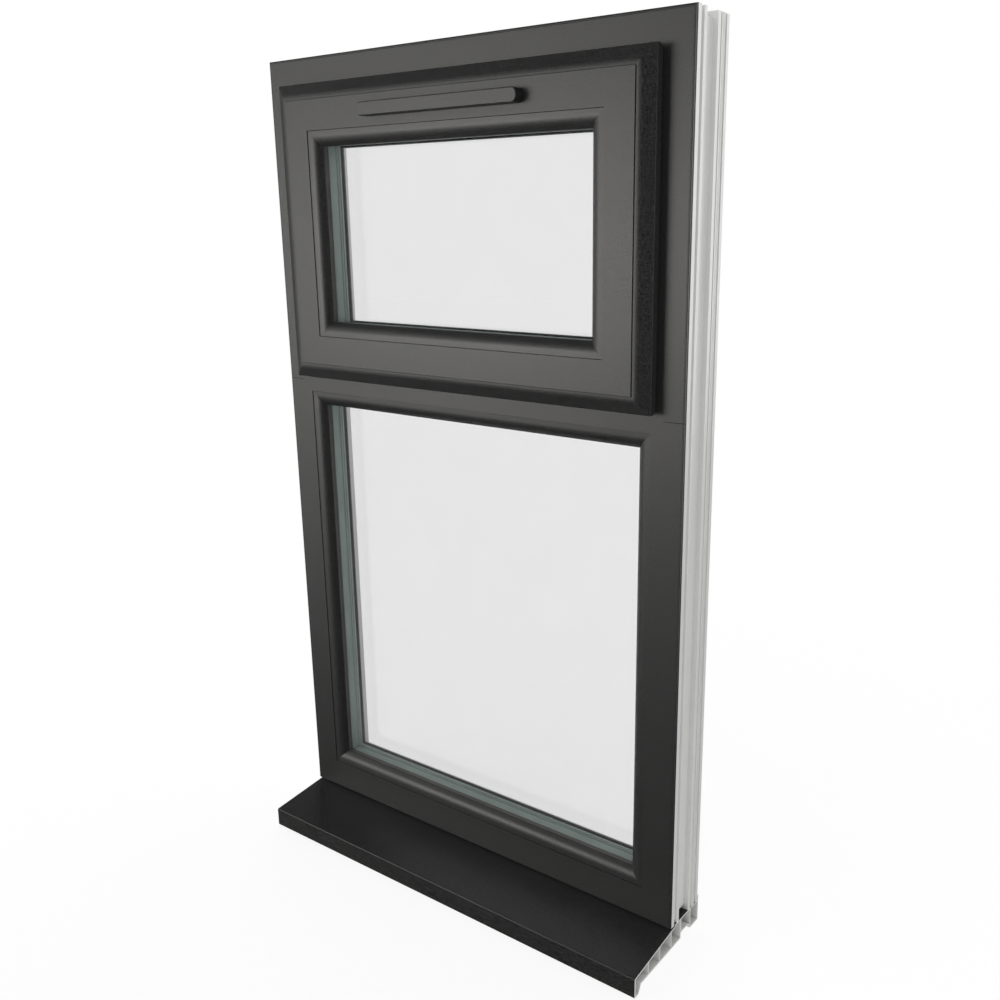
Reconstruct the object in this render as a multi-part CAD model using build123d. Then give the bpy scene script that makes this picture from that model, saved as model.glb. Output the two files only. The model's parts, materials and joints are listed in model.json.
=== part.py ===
"""Top-hung window: a vent above a fixed light, on a projecting cill, built part by part.

Axes: X is the width, seen from outside with +X to the right. Y runs from outside to inside and
is 0 on the outer face of the outer frame. Z is up and is 0 under the cill. Sizes are in mm.

Every bar of the frame and of the sash is an extrusion. Its section is drawn in (u, y), where u
is the distance from the bar's outer edge towards the glass and y is the depth Y.
"""

import os
from math import acos, cos, pi, radians, sin, sqrt, tan

from build123d import *

# Outer frame
WIDTH = 610.0
HEIGHT = 1010.0          # without the cill
DEPTH = 68.0
FACE = 41.0              # flat face, from the outer edge to the step beside the bead
EDGE_ROUND = 1.6         # rounding of the outer front corner
NIB = 2.5                # depth of the small nib the bead closes on
FLOOR_DROP = 1.0         # the rebate floor lies this far behind the edge of the face
BEAD_GROOVE = (5.0, 9.0, 3.5)      # front, back and depth of the groove for the bead's foot
WALL = 2.8

# Glazing bead and its moulding: a flat, a bend and a straight run
MOULD_STEP = 1.0
MOULD_FLAT = 5.0
MOULD_BEND = 10.3
MOULD_RUN = 3.0
MOULD_ANGLE = 47.0
MOULD_SLOPE = 2.3        # slope of the flat, degrees
SIGHT = MOULD_FLAT + MOULD_BEND + MOULD_RUN      # sight line, measured from the step
BEAD_BACK = 10.0         # back of the bead's nose, behind the face
BEAD_HEEL = 14.2
BEAD_SEAT = 10.6         # where the nose meets the thicker heel, from the step

# Double-glazed unit
UNIT_FRONT = 16.5        # front of the outer pane, behind the face
PANE = 4.0
CAVITY = 20.0
UNIT_EDGE = 5.0          # gap between the rebate floor and the edge of the glass
GASKET_IN = 1.5
SPACER_SET_IN = 4.0
SPACER_HEIGHT = 8.0

# Transom
VENT_LIGHT = 400.0       # from the top of the frame down to the middle of the transom
TRANSOM_HALF = 15.0      # half of its flat face
SCORE = 0.4              # width and depth of the joint line scored on the jambs

# Sash
SASH_OVERLAP = 8.0       # the lip laps this far over the frame's face
SASH_PROUD = 23.0        # sash face in front of the frame's face
SASH_GAP = 3.5           # from the back face of the sash to the leg of the frame
LIP_FLAT = 2.0
LIP_BEND = 6.0
LIP_RUN = 11.65
LIP_ANGLE = 27.3
LIP_THICK = 10.0
SASH_FLAT = 35.85
SASH_SIDE = 20.0         # side of the sash body, from the edge of the lip
HARDWARE_GROOVE = (19.0, 35.0, 3.0)

# Cill: heights are measured from the bottom of the frame
CILL_HEIGHT = 28.5
CILL_NOSE = 80.8
CILL_NOSE_TOP = -13.5
CILL_NOSE_BOTTOM = -39.0
CILL_STEP = (10.2, -2.3)
CILL_SEAT_FRONT = 12.5
CILL_BEHIND = 2.0        # the cill reaches this far behind the frame
CILL_UPSTAND = 6.5
CILL_WEBS = (-50.0, -24.0, 3.0)

# Trickle vent
CANOPY_LENGTH = 234.0
CANOPY_HEIGHT = 15.0
CANOPY_DEPTH = 12.8
CANOPY_CORNER = 5.0
CANOPY_CROWN = 3.2
CANOPY_SKIN = 1.6
CANOPY_SLOTS = 9
AIR_SLOT = (200.0, 8.0)
GRILLE = (236.0, 20.0, 3.0)        # length, height and thickness of the inside plate
CHEEK = (2.4, 6.0)       # width and reach of the two cheeks that carry the flap
FLAP_PIN = (1.2, 0.1)    # radius of the flap's pins and their play
FLAP = (16.0, 4.3)       # height and thickness of the flap
FLAP_TAB = (32.0, 3.2)   # width and reach of its finger tab

# Friction stays: an arm hangs from the sash and its lower end slides in a track on the jamb
STAY_PIVOT_DROP = 107.0  # below the hinge line
STAY_ARM = 203.0
STAY_TILT = 1.768        # degrees, arm at rest against the vertical
STAY_PIVOT_Y = 25.0
STAY_STRIP = (14.0, 2.5) # width and thickness of the arm
STAY_RIVET = (2.5, 3.0)  # radii of the lower and the upper rivet
TRACK_Y = 19.0
TRACK_LEAD = 15.0        # the track starts this far above the level of the upper pivot
TRACK_TAIL = 3.0         # and ends this far below the shoe
TRACK_SCREW_IN = 23.0    # from the top of the track to its first screw
SHOE_ROOM = 45.0         # kept free of screws above the lower pivot, where the shoe slides
BAR_AROUND = (49.0, 155.0)         # ends of the sash bar above and below its pivot
BAR_SCREW_IN = 17.0
BAR_SHEET = 2.6
BAR_SCREW_Y = 30.0
SIDE_SCREWS = 3          # screws in each track and in each bar
SHOE_LONG = 26.0
SCREW = (2.0, 3.6, 1.3, 8.0)       # shank radius, head radius, head height, length
SCREW_PLAY = 0.2
SCREW_SIDES = 10         # small screws, rivets and their holes are drawn with this many flats
TRACK_WIDE = 19.0
TRACK_RISE = 3.4
TRACK_SHEET = 1.2

# Locking gear
CAM_X = (-159.0, 141.0)  # unlocked places of the two roller cams
CAM_RADIUS = 4.0
GEAR_Y = 27.0
GEAR_MODULE = 1.5
GEAR_TEETH = 16          # on the full circle; the hub carries only those that come into mesh
GEAR_PRESSURE = 20.0
GEAR_PLAY = 0.2
SPINDLE_U = 43.0
SPINDLE = 7.0
HUB = 7.0
CASE = (52.4, 13.2)      # length and thickness of the gearbox
FACEPLATE = (444.0, 18.0, 1.8)
ROD = (380.0, 12.0, 2.4)
KEEP = (52.0, 27.0, 2.0)  # length, width and thickness of a keep's plate
HOOK = (18.0, 3.3, 6.8)  # length, thickness and height of its hook
HANDLE_BASE = (66.0, 26.0, 9.5)
HANDLE_SCREW = (2.0, 3.8, 2.0, 12.0)
LEVER_REACH = 112.0
LEVER_GRIP = (19.0, 11.0)
LEVER_BOSS = (11.0, 15.0)
HANDLE_SCREW_X = 21.5

# Packers, steels
PACKER = 80.0
STEEL_SHEET = 1.5
STEEL_SHORT = 45.0       # the jamb steels end this far from the ends of the frame
STEEL_TRANSOM_SHORT = 14.0         # the transom's tube ends this far inside the jambs

CLEAR = 0.3
FAR = 4 * DEPTH          # reach of the cutting prisms, past every bar

# Values that follow from the sizes above
BOTTOM = CILL_HEIGHT
TOP = BOTTOM + HEIGHT
HALF = WIDTH / 2
LEG = UNIT_FRONT + 2 * PANE + CAVITY + GASKET_IN
SASH_BACK = LEG - SASH_GAP
CENTRE_Z = TOP - VENT_LIGHT
APEX = FACE - TRANSOM_HALF
LOW_CELL = (-HALF, HALF, BOTTOM, CENTRE_Z - TRANSOM_HALF + FACE)
TOP_CELL = (-HALF, HALF, CENTRE_Z + TRANSOM_HALF - FACE, TOP)
SASH_INSET = FACE - SASH_OVERLAP
LIP_WIDTH = LIP_FLAT + LIP_BEND + LIP_RUN
SASH_STEP = LIP_WIDTH + SASH_FLAT
SASH_CELL = (TOP_CELL[0] + SASH_INSET, TOP_CELL[1] - SASH_INSET,
             TOP_CELL[2] + SASH_INSET, TOP_CELL[3] - SASH_INSET)
SASH_FACE_Y = -SASH_PROUD


def moulding(flat, bend, run, angle, slope=MOULD_SLOPE):
    """Points of a moulding that starts at (0, 0) and falls away: flat end, arc middle, arc end, end."""
    low = radians(slope)
    high = radians(angle)
    radius = bend / (sin(high) - sin(low))
    middle = (low + high) / 2
    drop = flat * tan(low)
    points = [(flat, drop)]
    for turn in (middle, high):
        points.append((flat + radius * (sin(turn) - sin(low)), drop + radius * (cos(low) - cos(turn))))
    points.append((flat + bend + run, points[-1][1] + run * tan(high)))
    return points


STEEL_BACK = DEPTH - 18.2
WALL_GROOVES = (         # front, back and depth of each groove on the wall side, from back to front
    (DEPTH - 9.0, DEPTH - 5.5, 3.0),
    (DEPTH - 18.5, DEPTH - 16.0, 2.0),
    (22.0, DEPTH - 24.3, 6.3),
    (10.5, 16.5, 3.0),
)
BEAD_MOULD = moulding(MOULD_FLAT, MOULD_BEND, MOULD_RUN, MOULD_ANGLE)
LIP_MOULD = moulding(LIP_FLAT, LIP_BEND, LIP_RUN, LIP_ANGLE)
PITCH_RADIUS = GEAR_MODULE * GEAR_TEETH / 2
CAM_TRAVEL = PITCH_RADIUS * pi / 2
LIP_FRONT = SASH_FACE_Y + MOULD_STEP + LIP_MOULD[-1][1]
LIP_BACK = LIP_FRONT + LIP_THICK
HINGE_Z = SASH_CELL[3]


def bulge(start, end, rise):
    """Middle point of an arc from start to end that stands out to the left of the line by rise."""
    du = end[0] - start[0]
    dy = end[1] - start[1]
    length = sqrt(du * du + dy * dy)
    return ((start[0] + end[0]) / 2 + dy / length * rise, (start[1] + end[1]) / 2 - du / length * rise)


def outline(*steps):
    """Closed face through the steps; a step of two points is an arc's middle and end."""
    edges = []
    here = steps[0]
    for step in steps[1:] + (steps[0],):
        if isinstance(step[0], tuple):
            edges.append(ThreePointArc(here, step[0], step[1]))
            here = step[1]
        else:
            edges.append(Line(here, step))
            here = step
    return make_face(edges)


def pocket(u0, u1, y0, y1):
    """Rectangular chamber in a section."""
    return Pos((u0 + u1) / 2, (y0 + y1) / 2) * Rectangle(u1 - u0, y1 - y0)


def block(x0, x1, y0, y1, z0, z1):
    """Box between two corners."""
    return Pos((x0 + x1) / 2, (y0 + y1) / 2, (z0 + z1) / 2) * Box(x1 - x0, y1 - y0, z1 - z0)


def rod_y(x, z, y0, y1, radius):
    """Cylinder along Y."""
    return Pos(x, (y0 + y1) / 2, z) * Rot(90, 0, 0) * Cylinder(radius, y1 - y0)


def rod_x(y, z, x0, x1, radius):
    """Cylinder along X."""
    return Pos((x0 + x1) / 2, y, z) * Rot(0, 90, 0) * Cylinder(radius, abs(x1 - x0))


def rod_z(x, y, z0, z1, radius):
    """Cylinder along Z."""
    return Pos(x, y, (z0 + z1) / 2) * Cylinder(radius, z1 - z0)


def wedge(points):
    """Prism through the whole depth over a triangle of (u, t) points."""
    corners = [Vector(u, 0, t) for u, t in points]
    face = Face(Wire.make_polygon(corners, close=True))
    return Pos(0, -FAR / 2, 0) * Solid.extrude(face, Vector(0, FAR, 0))


def bar(section, length):
    """Extrude a section and cut both ends to 45 degrees."""
    body = extrude(section, amount=length)
    body -= wedge([(-FACE, -FACE), (FAR, FAR), (FAR, -FACE)])
    body -= wedge([(-FACE, length + FACE), (FAR, length - FAR), (FAR, length + FACE)])
    return body


def four_bars(section, cell):
    """Bars round a cell given as left, right, bottom and top."""
    left, right, low, high = cell
    places = {
        "bottom": ((right, 0, low), (0, 0, 1), (-1, 0, 0), right - left),
        "left": ((left, 0, low), (1, 0, 0), (0, 0, 1), high - low),
        "top": ((left, 0, high), (0, 0, -1), (1, 0, 0), right - left),
        "right": ((right, 0, high), (-1, 0, 0), (0, 0, -1), high - low),
    }
    bars = {}
    for side, (corner, inward, along, length) in places.items():
        plane = Plane(origin=corner, x_dir=inward, z_dir=along)
        bars[side] = plane.location * bar(section, length)
    return bars


def ring(cell, u0, u1, y0, y1):
    """Rectangular ring between two distances from the edges of a cell."""
    left, right, low, high = cell
    outer = block(left + u0, right - u0, y0, y1, low + u0, high - u0)
    return outer - block(left + u1, right - u1, y0 - 1, y1 + 1, low + u1, high - u1)


def spread(first, last, count):
    """Evenly spaced values from first to last."""
    return [first + (last - first) * index / (count - 1) for index in range(count)]


def flats(x, y, radius, sides=SCREW_SIDES):
    """Corners of a regular polygon about (x, y)."""
    turns = [2 * pi * index / sides for index in range(sides)]
    return [(x + radius * cos(turn), y + radius * sin(turn)) for turn in turns]


def rebate_side(step, front, rear):
    """Glass side of a bar: nib, bead groove, floor and the leg behind the glass."""
    floor = step - FLOOR_DROP
    groove_front, groove_back, groove_deep = BEAD_GROOVE
    leg = front + LEG
    nose = (step + SIGHT, leg + 1.5)
    heel = (step + 2, rear - 2)
    return [
        (step, front), (step, front + NIB), (floor, front + NIB),
        (floor, front + groove_front), (floor - groove_deep, front + groove_front),
        (floor - groove_deep, front + groove_back), (floor, front + groove_back),
        (floor, leg), (step + SIGHT, leg), nose, (bulge(nose, heel, -4.0), heel), (step + 2, rear),
    ]


def leg_chamber(step, front, rear):
    """Chamber inside the leg behind the glass."""
    leg = front + LEG + WALL
    deep = rear - front - LEG
    back = rear - 0.3 * deep
    return outline((step + 1.8, leg), (step + 13.2, leg), (step + 11.4, leg + 0.2 * deep),
                   (step + 5.0, back), (step + 1.8, back))


def frame_section():
    """Section of the outer frame, with the grooves on its wall side."""
    wall_side = [(0.0, DEPTH)]
    for near, far, deep in WALL_GROOVES:
        wall_side += [(0.0, far), (deep, far), (deep, near), (0.0, near)]
    wall_side.append((0.0, EDGE_ROUND))
    shift = EDGE_ROUND * (1 - sqrt(0.5))
    corner = ((shift, shift), (EDGE_ROUND, 0.0))
    face = outline(*rebate_side(FACE, 0.0, DEPTH), *wall_side, corner)
    face -= pocket(5.6, 33.8, WALL, 12.0)
    face -= pocket(9.3, 24.5, 14.0, STEEL_BACK)
    face -= pocket(26.5, 37.2, 14.0, STEEL_BACK)
    face -= pocket(5.6, 40.2, STEEL_BACK + 2.2, DEPTH - WALL)
    face -= leg_chamber(FACE, 0.0, DEPTH)
    return face


def mirrored(steps):
    """The steps of an outline in reverse and on the other side of u = 0."""
    found = []
    arc_middle = None
    for index in range(len(steps) - 1, -1, -1):
        step = steps[index]
        end = step[1] if isinstance(step[0], tuple) else step
        here = (-end[0], end[1])
        found.append(here if arc_middle is None else ((-arc_middle[0], arc_middle[1]), here))
        arc_middle = step[0] if isinstance(step[0], tuple) else None
    return found


def transom_section():
    """Section of the transom: two rebate sides back to back."""
    side = rebate_side(TRANSOM_HALF, 0.0, DEPTH)
    face = outline(*side, *mirrored(side))
    face -= pocket(-7.7, 7.7, WALL, 12.0)
    face -= pocket(-11.2, 11.2, 14.0, LEG)
    face -= pocket(-14.2, 14.2, LEG + WALL, DEPTH - WALL)
    chamber = leg_chamber(TRANSOM_HALF, 0.0, DEPTH)
    face -= chamber
    face -= mirror(chamber, about=Plane.YZ)
    return face


def sash_section():
    """Section of the sash: lip over the frame, face, rebate side and the body with its groove."""
    face_y = SASH_FACE_Y
    lip_y = face_y + MOULD_STEP
    flat_end, arc_middle, arc_end, end = [(LIP_WIDTH - u, lip_y + y) for u, y in LIP_MOULD]
    groove_front, groove_back, groove_deep = HARDWARE_GROOVE
    edge = 0.6
    face = outline(
        (0.0, LIP_BACK), (0.0, end[1] + edge), (edge, end[1] + edge * 0.2 - edge * 0.4), arc_end,
        (arc_middle, flat_end), (LIP_WIDTH, lip_y), (LIP_WIDTH, face_y),
        *rebate_side(SASH_STEP, face_y, SASH_BACK),
        (SASH_SIDE, SASH_BACK), (SASH_SIDE, groove_back), (SASH_SIDE + groove_deep, groove_back),
        (SASH_SIDE + groove_deep, groove_front), (SASH_SIDE, groove_front), (SASH_SIDE, LIP_BACK),
    )
    face -= pocket(22.4, 47.7, face_y + WALL, -9.6)
    face -= outline((3.6, -12.0), (15.6, -17.6), (19.6, -18.0), (19.6, -7.4), (3.6, -7.4))
    face -= pocket(22.8, 51.7, -7.6, 16.6)
    face -= pocket(25.8, 51.7, 18.4, 29.0)
    face -= pocket(25.8, 54.8, 31.0, SASH_BACK - WALL)
    face -= leg_chamber(SASH_STEP, face_y, SASH_BACK)
    return face


def bead_section(step, front):
    """Outside glazing bead, clipped into the groove by its foot."""
    floor = step - FLOOR_DROP + CLEAR
    top = front + MOULD_STEP
    edge = step + 0.2
    scale = (SIGHT - 0.2) / SIGHT
    flat_end, arc_middle, arc_end, end = [(edge + u * scale, top + y) for u, y in BEAD_MOULD]
    groove_front, groove_back, groove_deep = BEAD_GROOVE
    seat = step + BEAD_SEAT
    face = outline(
        (edge, top), flat_end, (arc_middle, arc_end), end,
        (end[0], front + BEAD_BACK), (seat, front + BEAD_BACK), (seat, front + BEAD_HEEL),
        (floor, front + BEAD_HEEL), (floor, front + groove_back - CLEAR),
        (floor - groove_deep, front + groove_back - CLEAR), (floor - groove_deep, front + groove_front + CLEAR),
        (floor, front + groove_front + CLEAR), (floor, front + NIB + CLEAR), (edge, front + NIB + CLEAR),
    )
    face -= outline((step + 1.8, front + 4.6), (step + 8.8, front + 4.6), (step + 8.8, front + 12.4),
                    (step + 1.8, front + 12.4))
    return face


def point_prism(apex_x, side):
    """Prism that opens towards the middle of the window from the point of a welded V joint."""
    far = apex_x - side * FAR
    return wedge([(apex_x, CENTRE_Z), (far, CENTRE_Z - FAR), (far, CENTRE_Z + FAR)])


def outer_frame():
    """Head, bottom rail and both jambs; the jambs are notched for the transom and scored."""
    bars = four_bars(frame_section(), (-HALF, HALF, BOTTOM, TOP))
    for name, side in (("left", -1), ("right", 1)):
        jamb = bars[name] - point_prism(side * (HALF - APEX), side)
        edge = side * HALF
        point = side * (HALF - APEX - 0.6)
        line = block(min(edge, point), max(edge, point), -1, SCORE, CENTRE_Z - SCORE / 2, CENTRE_Z + SCORE / 2)
        bars[name] = jamb - line
    return bars


def transom():
    """Transom with pointed ends that fill the notches in the jambs."""
    length = WIDTH - 2 * APEX
    plane = Plane(origin=(-length / 2, 0, CENTRE_Z), x_dir=(0, 0, -1), z_dir=(1, 0, 0))
    body = plane.location * extrude(transom_section(), amount=length)
    for side in (-1, 1):
        point = side * length / 2
        near = point - side * FACE * 2
        for up in (-1, 1):
            high = CENTRE_Z + up * FACE * 2
            body -= wedge([(point, CENTRE_Z), (near, high), (point + side, high), (point + side, CENTRE_Z)])
    return body


def channel_steel(u0, u1, y0, y1):
    """Folded channel open towards the glass."""
    sheet = STEEL_SHEET
    return pocket(u0, u1, y0, y1) - pocket(u0 + sheet, u1 + 1, y0 + sheet, y1 - sheet)


def jamb_steels():
    """Steel channels in the jambs, inside the chamber nearest the wall."""
    steels = {}
    bars = four_bars(channel_steel(9.6, 24.2, 14.3, STEEL_BACK - CLEAR), (-HALF, HALF, BOTTOM, TOP))
    keep = block(-HALF, HALF, -DEPTH, 2 * DEPTH, BOTTOM + STEEL_SHORT, TOP - STEEL_SHORT)
    for name in ("left", "right"):
        steels[name] = bars[name] & keep
    return steels


def transom_steel():
    """Closed steel tube in the transom."""
    sheet = STEEL_SHEET
    tube = pocket(-10.9, 10.9, 14.3, LEG - CLEAR)
    tube -= pocket(sheet - 10.9, 10.9 - sheet, 14.3 + sheet, LEG - CLEAR - sheet)
    length = WIDTH - 2 * (FACE + STEEL_TRANSOM_SHORT)
    plane = Plane(origin=(-length / 2, 0, CENTRE_Z), x_dir=(0, 0, -1), z_dir=(1, 0, 0))
    return plane.location * extrude(tube, amount=length)


def cill_top(y):
    """Height of the sloping top of the cill, from the bottom of the frame."""
    step_y, step_z = CILL_STEP
    return step_z - (step_y - y) * (step_z - CILL_NOSE_TOP) / (step_y + CILL_NOSE)


def cill():
    """Hollow cill: drip nose, sloping top, seat under the frame and an upstand behind it."""
    low = -CILL_HEIGHT
    back = DEPTH + CILL_BEHIND
    lip = CILL_UPSTAND
    nose = -CILL_NOSE
    outer = [
        (nose, CILL_NOSE_TOP), CILL_STEP, (CILL_SEAT_FRONT, 0.0), (DEPTH, 0.0), (DEPTH, lip), (back, lip),
        (back, low), (50.0, low), (42.5, -20.4), (26.4, -20.4), (26.4, low), (-66.6, low), (-71.8, -38.3),
        (-73.4, CILL_NOSE_BOTTOM), (nose, CILL_NOSE_BOTTOM),
    ]
    skin = 2.0
    chambers = [[
        (nose + 2.4, cill_top(nose + 2.4) - skin), (CILL_WEBS[0] - 0.8, cill_top(CILL_WEBS[0]) - skin),
        (CILL_WEBS[0] - 0.8, low + skin), (-67.6, low + skin), (-72.6, -37.0), (nose + 2.4, -37.0),
    ]]
    for left, right in zip(CILL_WEBS, CILL_WEBS[1:] + (CILL_SEAT_FRONT + 13.0,)):
        y0 = left + 0.8
        y1 = right - 0.8
        ceiling = [(y0, cill_top(y0) - skin), (y1, cill_top(y1) - skin)]
        if y1 > CILL_SEAT_FRONT:
            ceiling = [(y0, cill_top(y0) - skin), (CILL_STEP[0] + 0.4, CILL_STEP[1] - skin),
                       (CILL_SEAT_FRONT + 0.6, -skin), (y1, -skin)]
        chambers.append(ceiling + [(y1, low + skin), (y0, low + skin)])
    chambers.append([(27.4, -skin), (49.2, -skin), (49.2, -22.6), (43.6, -18.4), (27.4, -18.4)])
    chambers.append([(50.8, -skin), (back - skin, -skin), (back - skin, low + skin), (50.8, low + skin)])

    def slab(points):
        corners = [Vector(-HALF, y, BOTTOM + z) for y, z in points]
        face = Face(Wire.make_polygon(corners, close=True))
        return Solid.extrude(face, Vector(WIDTH, 0, 0))

    body = slab(outer)
    for chamber in chambers:
        body -= slab(chamber)
    return body


def glazing(cell, step, front):
    """Panes, spacer, edge seal and gaskets of one light."""
    left, right, low, high = cell
    edge = step - FLOOR_DROP + UNIT_EDGE
    sight = step + SIGHT - 0.2
    y0 = front + UNIT_FRONT
    y1 = y0 + PANE
    y2 = y1 + CAVITY
    y3 = y2 + PANE
    inner = edge + SPACER_SET_IN
    spacer = ring(cell, inner, inner + SPACER_HEIGHT, y1, y2)
    spacer -= ring(cell, inner + 1, inner + SPACER_HEIGHT - 1, y1 + 1, y2 - 1)
    lip = ring(cell, sight - 5.2, sight, y0 - 3.0, y0)
    return {
        "outer_pane": block(left + edge, right - edge, y0, y1, low + edge, high - edge),
        "inner_pane": block(left + edge, right - edge, y2, y3, low + edge, high - edge),
        "spacer": spacer,
        "edge_seal": ring(cell, edge, inner, y1, y2),
        "outer_gasket": ring(cell, step + BEAD_SEAT + CLEAR, sight, front + BEAD_BACK, y0 - 3.0) + lip,
        "inner_gasket": ring(cell, sight - 7, sight, y3, front + LEG),
    }


def packers(cell, step, front, along_bottom, up_sides):
    """Plastic packers between the rebate floor and the edges of the glass."""
    left, right, low, high = cell
    floor = step - FLOOR_DROP
    y0 = front + UNIT_FRONT
    y1 = y0 + 2 * PANE + CAVITY
    edge = floor + UNIT_EDGE
    half = PACKER / 2
    pieces = [block(x - half, x + half, y0, y1, low + floor, low + edge) for x in along_bottom]
    for z in up_sides:
        pieces.append(block(left + floor, left + edge, y0, y1, z - half, z + half))
        pieces.append(block(right - edge, right - floor, y0, y1, z - half, z + half))
    return Compound(children=[Part() + piece for piece in pieces])


def sash():
    """Top rail with its air slot, bottom rail with the lock pocket, and two stiles."""
    bars = four_bars(sash_section(), SASH_CELL)
    slot_long, slot_high = AIR_SLOT
    z = canopy_z()
    bars["top"] -= block(-slot_long / 2, slot_long / 2, SASH_FACE_Y - 1, SASH_BACK + 1,
                         z - slot_high / 2, z + slot_high / 2)
    low = SASH_CELL[2]
    case_half = CASE[0] / 2 + CLEAR
    bars["bottom"] -= block(-case_half, case_half, GEAR_Y - CASE[1] / 2 - 0.4, GEAR_Y + CASE[1] / 2 + 0.4,
                            low + SASH_SIDE, low + SPINDLE_U + 9.2)
    bars["bottom"] -= rod_y(0, low + SPINDLE_U, 30, SASH_BACK + 1, 6.5)
    hole = HANDLE_SCREW[0] + SCREW_PLAY
    for x, z in handle_screw_places():
        bars["bottom"] -= plate_y(flats(x, z, hole), SASH_BACK - WALL - 1, SASH_BACK + 1)
    u0 = SASH_INSET + SASH_SIDE
    for side, name in ((-1, "left"), (1, "right")):
        for z in bar_screw_heights():
            bars[name] -= screw_hole(side, u0, u0 + HARDWARE_GROOVE[2] + SCREW[3], BAR_SCREW_Y, z)
    return bars


def canopy_z():
    """Height of the trickle vent: the middle of the top rail's flat face."""
    return SASH_CELL[3] - LIP_WIDTH - SASH_FLAT / 2


def canopy():
    """Rounded rain hood over the air slot, open to the back and along its underside."""
    z = canopy_z()
    y0 = SASH_FACE_Y - CANOPY_DEPTH
    low = z - CANOPY_HEIGHT / 2
    high = z + CANOPY_HEIGHT / 2
    hood = block(-CANOPY_LENGTH / 2, CANOPY_LENGTH / 2, y0, SASH_FACE_Y, low, high)
    hood = fillet(hood.edges().filter_by(Axis.Y), CANOPY_CORNER)
    hood = fillet(hood.faces().sort_by(Axis.Y)[0].edges(), CANOPY_CROWN)
    skin = CANOPY_SKIN
    room = CANOPY_LENGTH / 2 - 3 * skin
    wall = 1.5 * skin
    hood -= block(-room, room, y0 + skin, SASH_FACE_Y + 1, low + wall, high - wall)
    span = room - wall
    pitch = 2 * span / CANOPY_SLOTS
    for index in range(CANOPY_SLOTS):
        x = -span + pitch * (index + 0.5)
        half = pitch / 2 - skin
        hood -= block(x - half, x + half, y0 + 2.5 * skin, SASH_FACE_Y - skin, low - 1, low + 2 * skin)
    return hood


def flap_axis():
    """Y and Z of the flap's pins."""
    return SASH_BACK + GRILLE[2] + CHEEK[1] / 2, canopy_z() - GRILLE[1] / 2 + 4.6


def vent_grille():
    """Inside plate of the trickle vent with cheeks that carry the flap."""
    z = canopy_z()
    slot_long, slot_high = AIR_SLOT
    length, high, thick = GRILLE
    cheek_wide, cheek_reach = CHEEK
    half = length / 2
    y0 = SASH_BACK
    y1 = y0 + thick
    y2 = y1 + cheek_reach
    ledge = z - high / 2 + CANOPY_SKIN
    plate = block(-half, half, y0, y1, z - high / 2, z + high / 2)
    plate -= block(-slot_long / 2, slot_long / 2, y0 - 1, y1 + 1, z - slot_high / 2, z + slot_high / 2)
    plate += block(-half, half, y1, y2, z - high / 2, ledge)
    pin_y, pin_z = flap_axis()
    for side in (-1, 1):
        x0 = min(side * half, side * (half - cheek_wide))
        cheek = block(x0, x0 + cheek_wide, y1, y2, ledge, z + high / 2)
        plate += cheek - rod_x(pin_y, pin_z, x0 - 1, x0 + cheek_wide + 1, sum(FLAP_PIN))
    return plate


def vent_flap():
    """Flap that closes the trickle vent on the room side; it turns on two small pins."""
    pin_y, pin_z = flap_axis()
    high, thick = FLAP
    tab_wide, tab_reach = FLAP_TAB
    half = GRILLE[0] / 2 - CHEEK[0] - 0.4
    y0 = SASH_BACK + GRILLE[2] + 0.5
    z0 = pin_z - 1.6
    flap = block(-half, half, y0, y0 + thick, z0, z0 + high)
    flap += block(-tab_wide / 2, tab_wide / 2, y0 + thick, y0 + thick + tab_reach, z0 + high - 2.4, z0 + high)
    for side in (-1, 1):
        flap += rod_x(pin_y, pin_z, side * half, side * (half + CHEEK[0] - 0.2), FLAP_PIN[0])
    return flap


def stay_places():
    """Y and Z of the arm's upper pivot and of the shoe at its lower end."""
    tilt = radians(STAY_TILT)
    high = (STAY_PIVOT_Y, HINGE_Z - STAY_PIVOT_DROP)
    low = (STAY_PIVOT_Y - STAY_ARM * sin(tilt), high[1] - STAY_ARM * cos(tilt))
    return high, low


def track_ends():
    """Upper and lower end of the track, below the hinge line."""
    return STAY_PIVOT_DROP - TRACK_LEAD, STAY_PIVOT_DROP + STAY_ARM + SHOE_LONG / 2 + TRACK_TAIL


def bar_ends():
    """Upper and lower end of the sash bar, below the hinge line."""
    return STAY_PIVOT_DROP - BAR_AROUND[0], STAY_PIVOT_DROP + BAR_AROUND[1]


def track_screw_heights():
    """Heights of the screws that hold each track."""
    last = STAY_PIVOT_DROP + STAY_ARM - SHOE_ROOM
    return [HINGE_Z - drop for drop in spread(track_ends()[0] + TRACK_SCREW_IN, last, SIDE_SCREWS)]


def bar_screw_heights():
    """Heights of the screws that hold each sash bar."""
    high, low = bar_ends()
    return [HINGE_Z - drop for drop in spread(high + BAR_SCREW_IN, low - BAR_SCREW_IN, SIDE_SCREWS)]


def side_block(side, u0, u1, y0, y1, z0, z1):
    """Box given by its distance from the left or right edge of the frame."""
    a = side * (HALF - u0)
    b = side * (HALF - u1)
    return block(min(a, b), max(a, b), y0, y1, z0, z1)


def side_rod(side, u0, u1, y, z, radius):
    """Cylinder along X given by its distance from the left or right edge of the frame."""
    a = side * (HALF - u0)
    b = side * (HALF - u1)
    return rod_x(y, z, min(a, b), max(a, b), radius)


def screw_prism(side, u0, u1, y, z, radius):
    """Prism with flats along X, for a screw, a rivet or a hole."""
    a = side * (HALF - u0)
    b = side * (HALF - u1)
    corners = [Vector(min(a, b), *place) for place in flats(y, z, radius)]
    face = Face(Wire.make_polygon(corners, close=True))
    return Part() + Solid.extrude(face, Vector(abs(b - a), 0, 0))


def screw_hole(side, u0, u1, y, z):
    """Hole for a screw along X."""
    return screw_prism(side, u0, u1, y, z, SCREW[0] + SCREW_PLAY)


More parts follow.
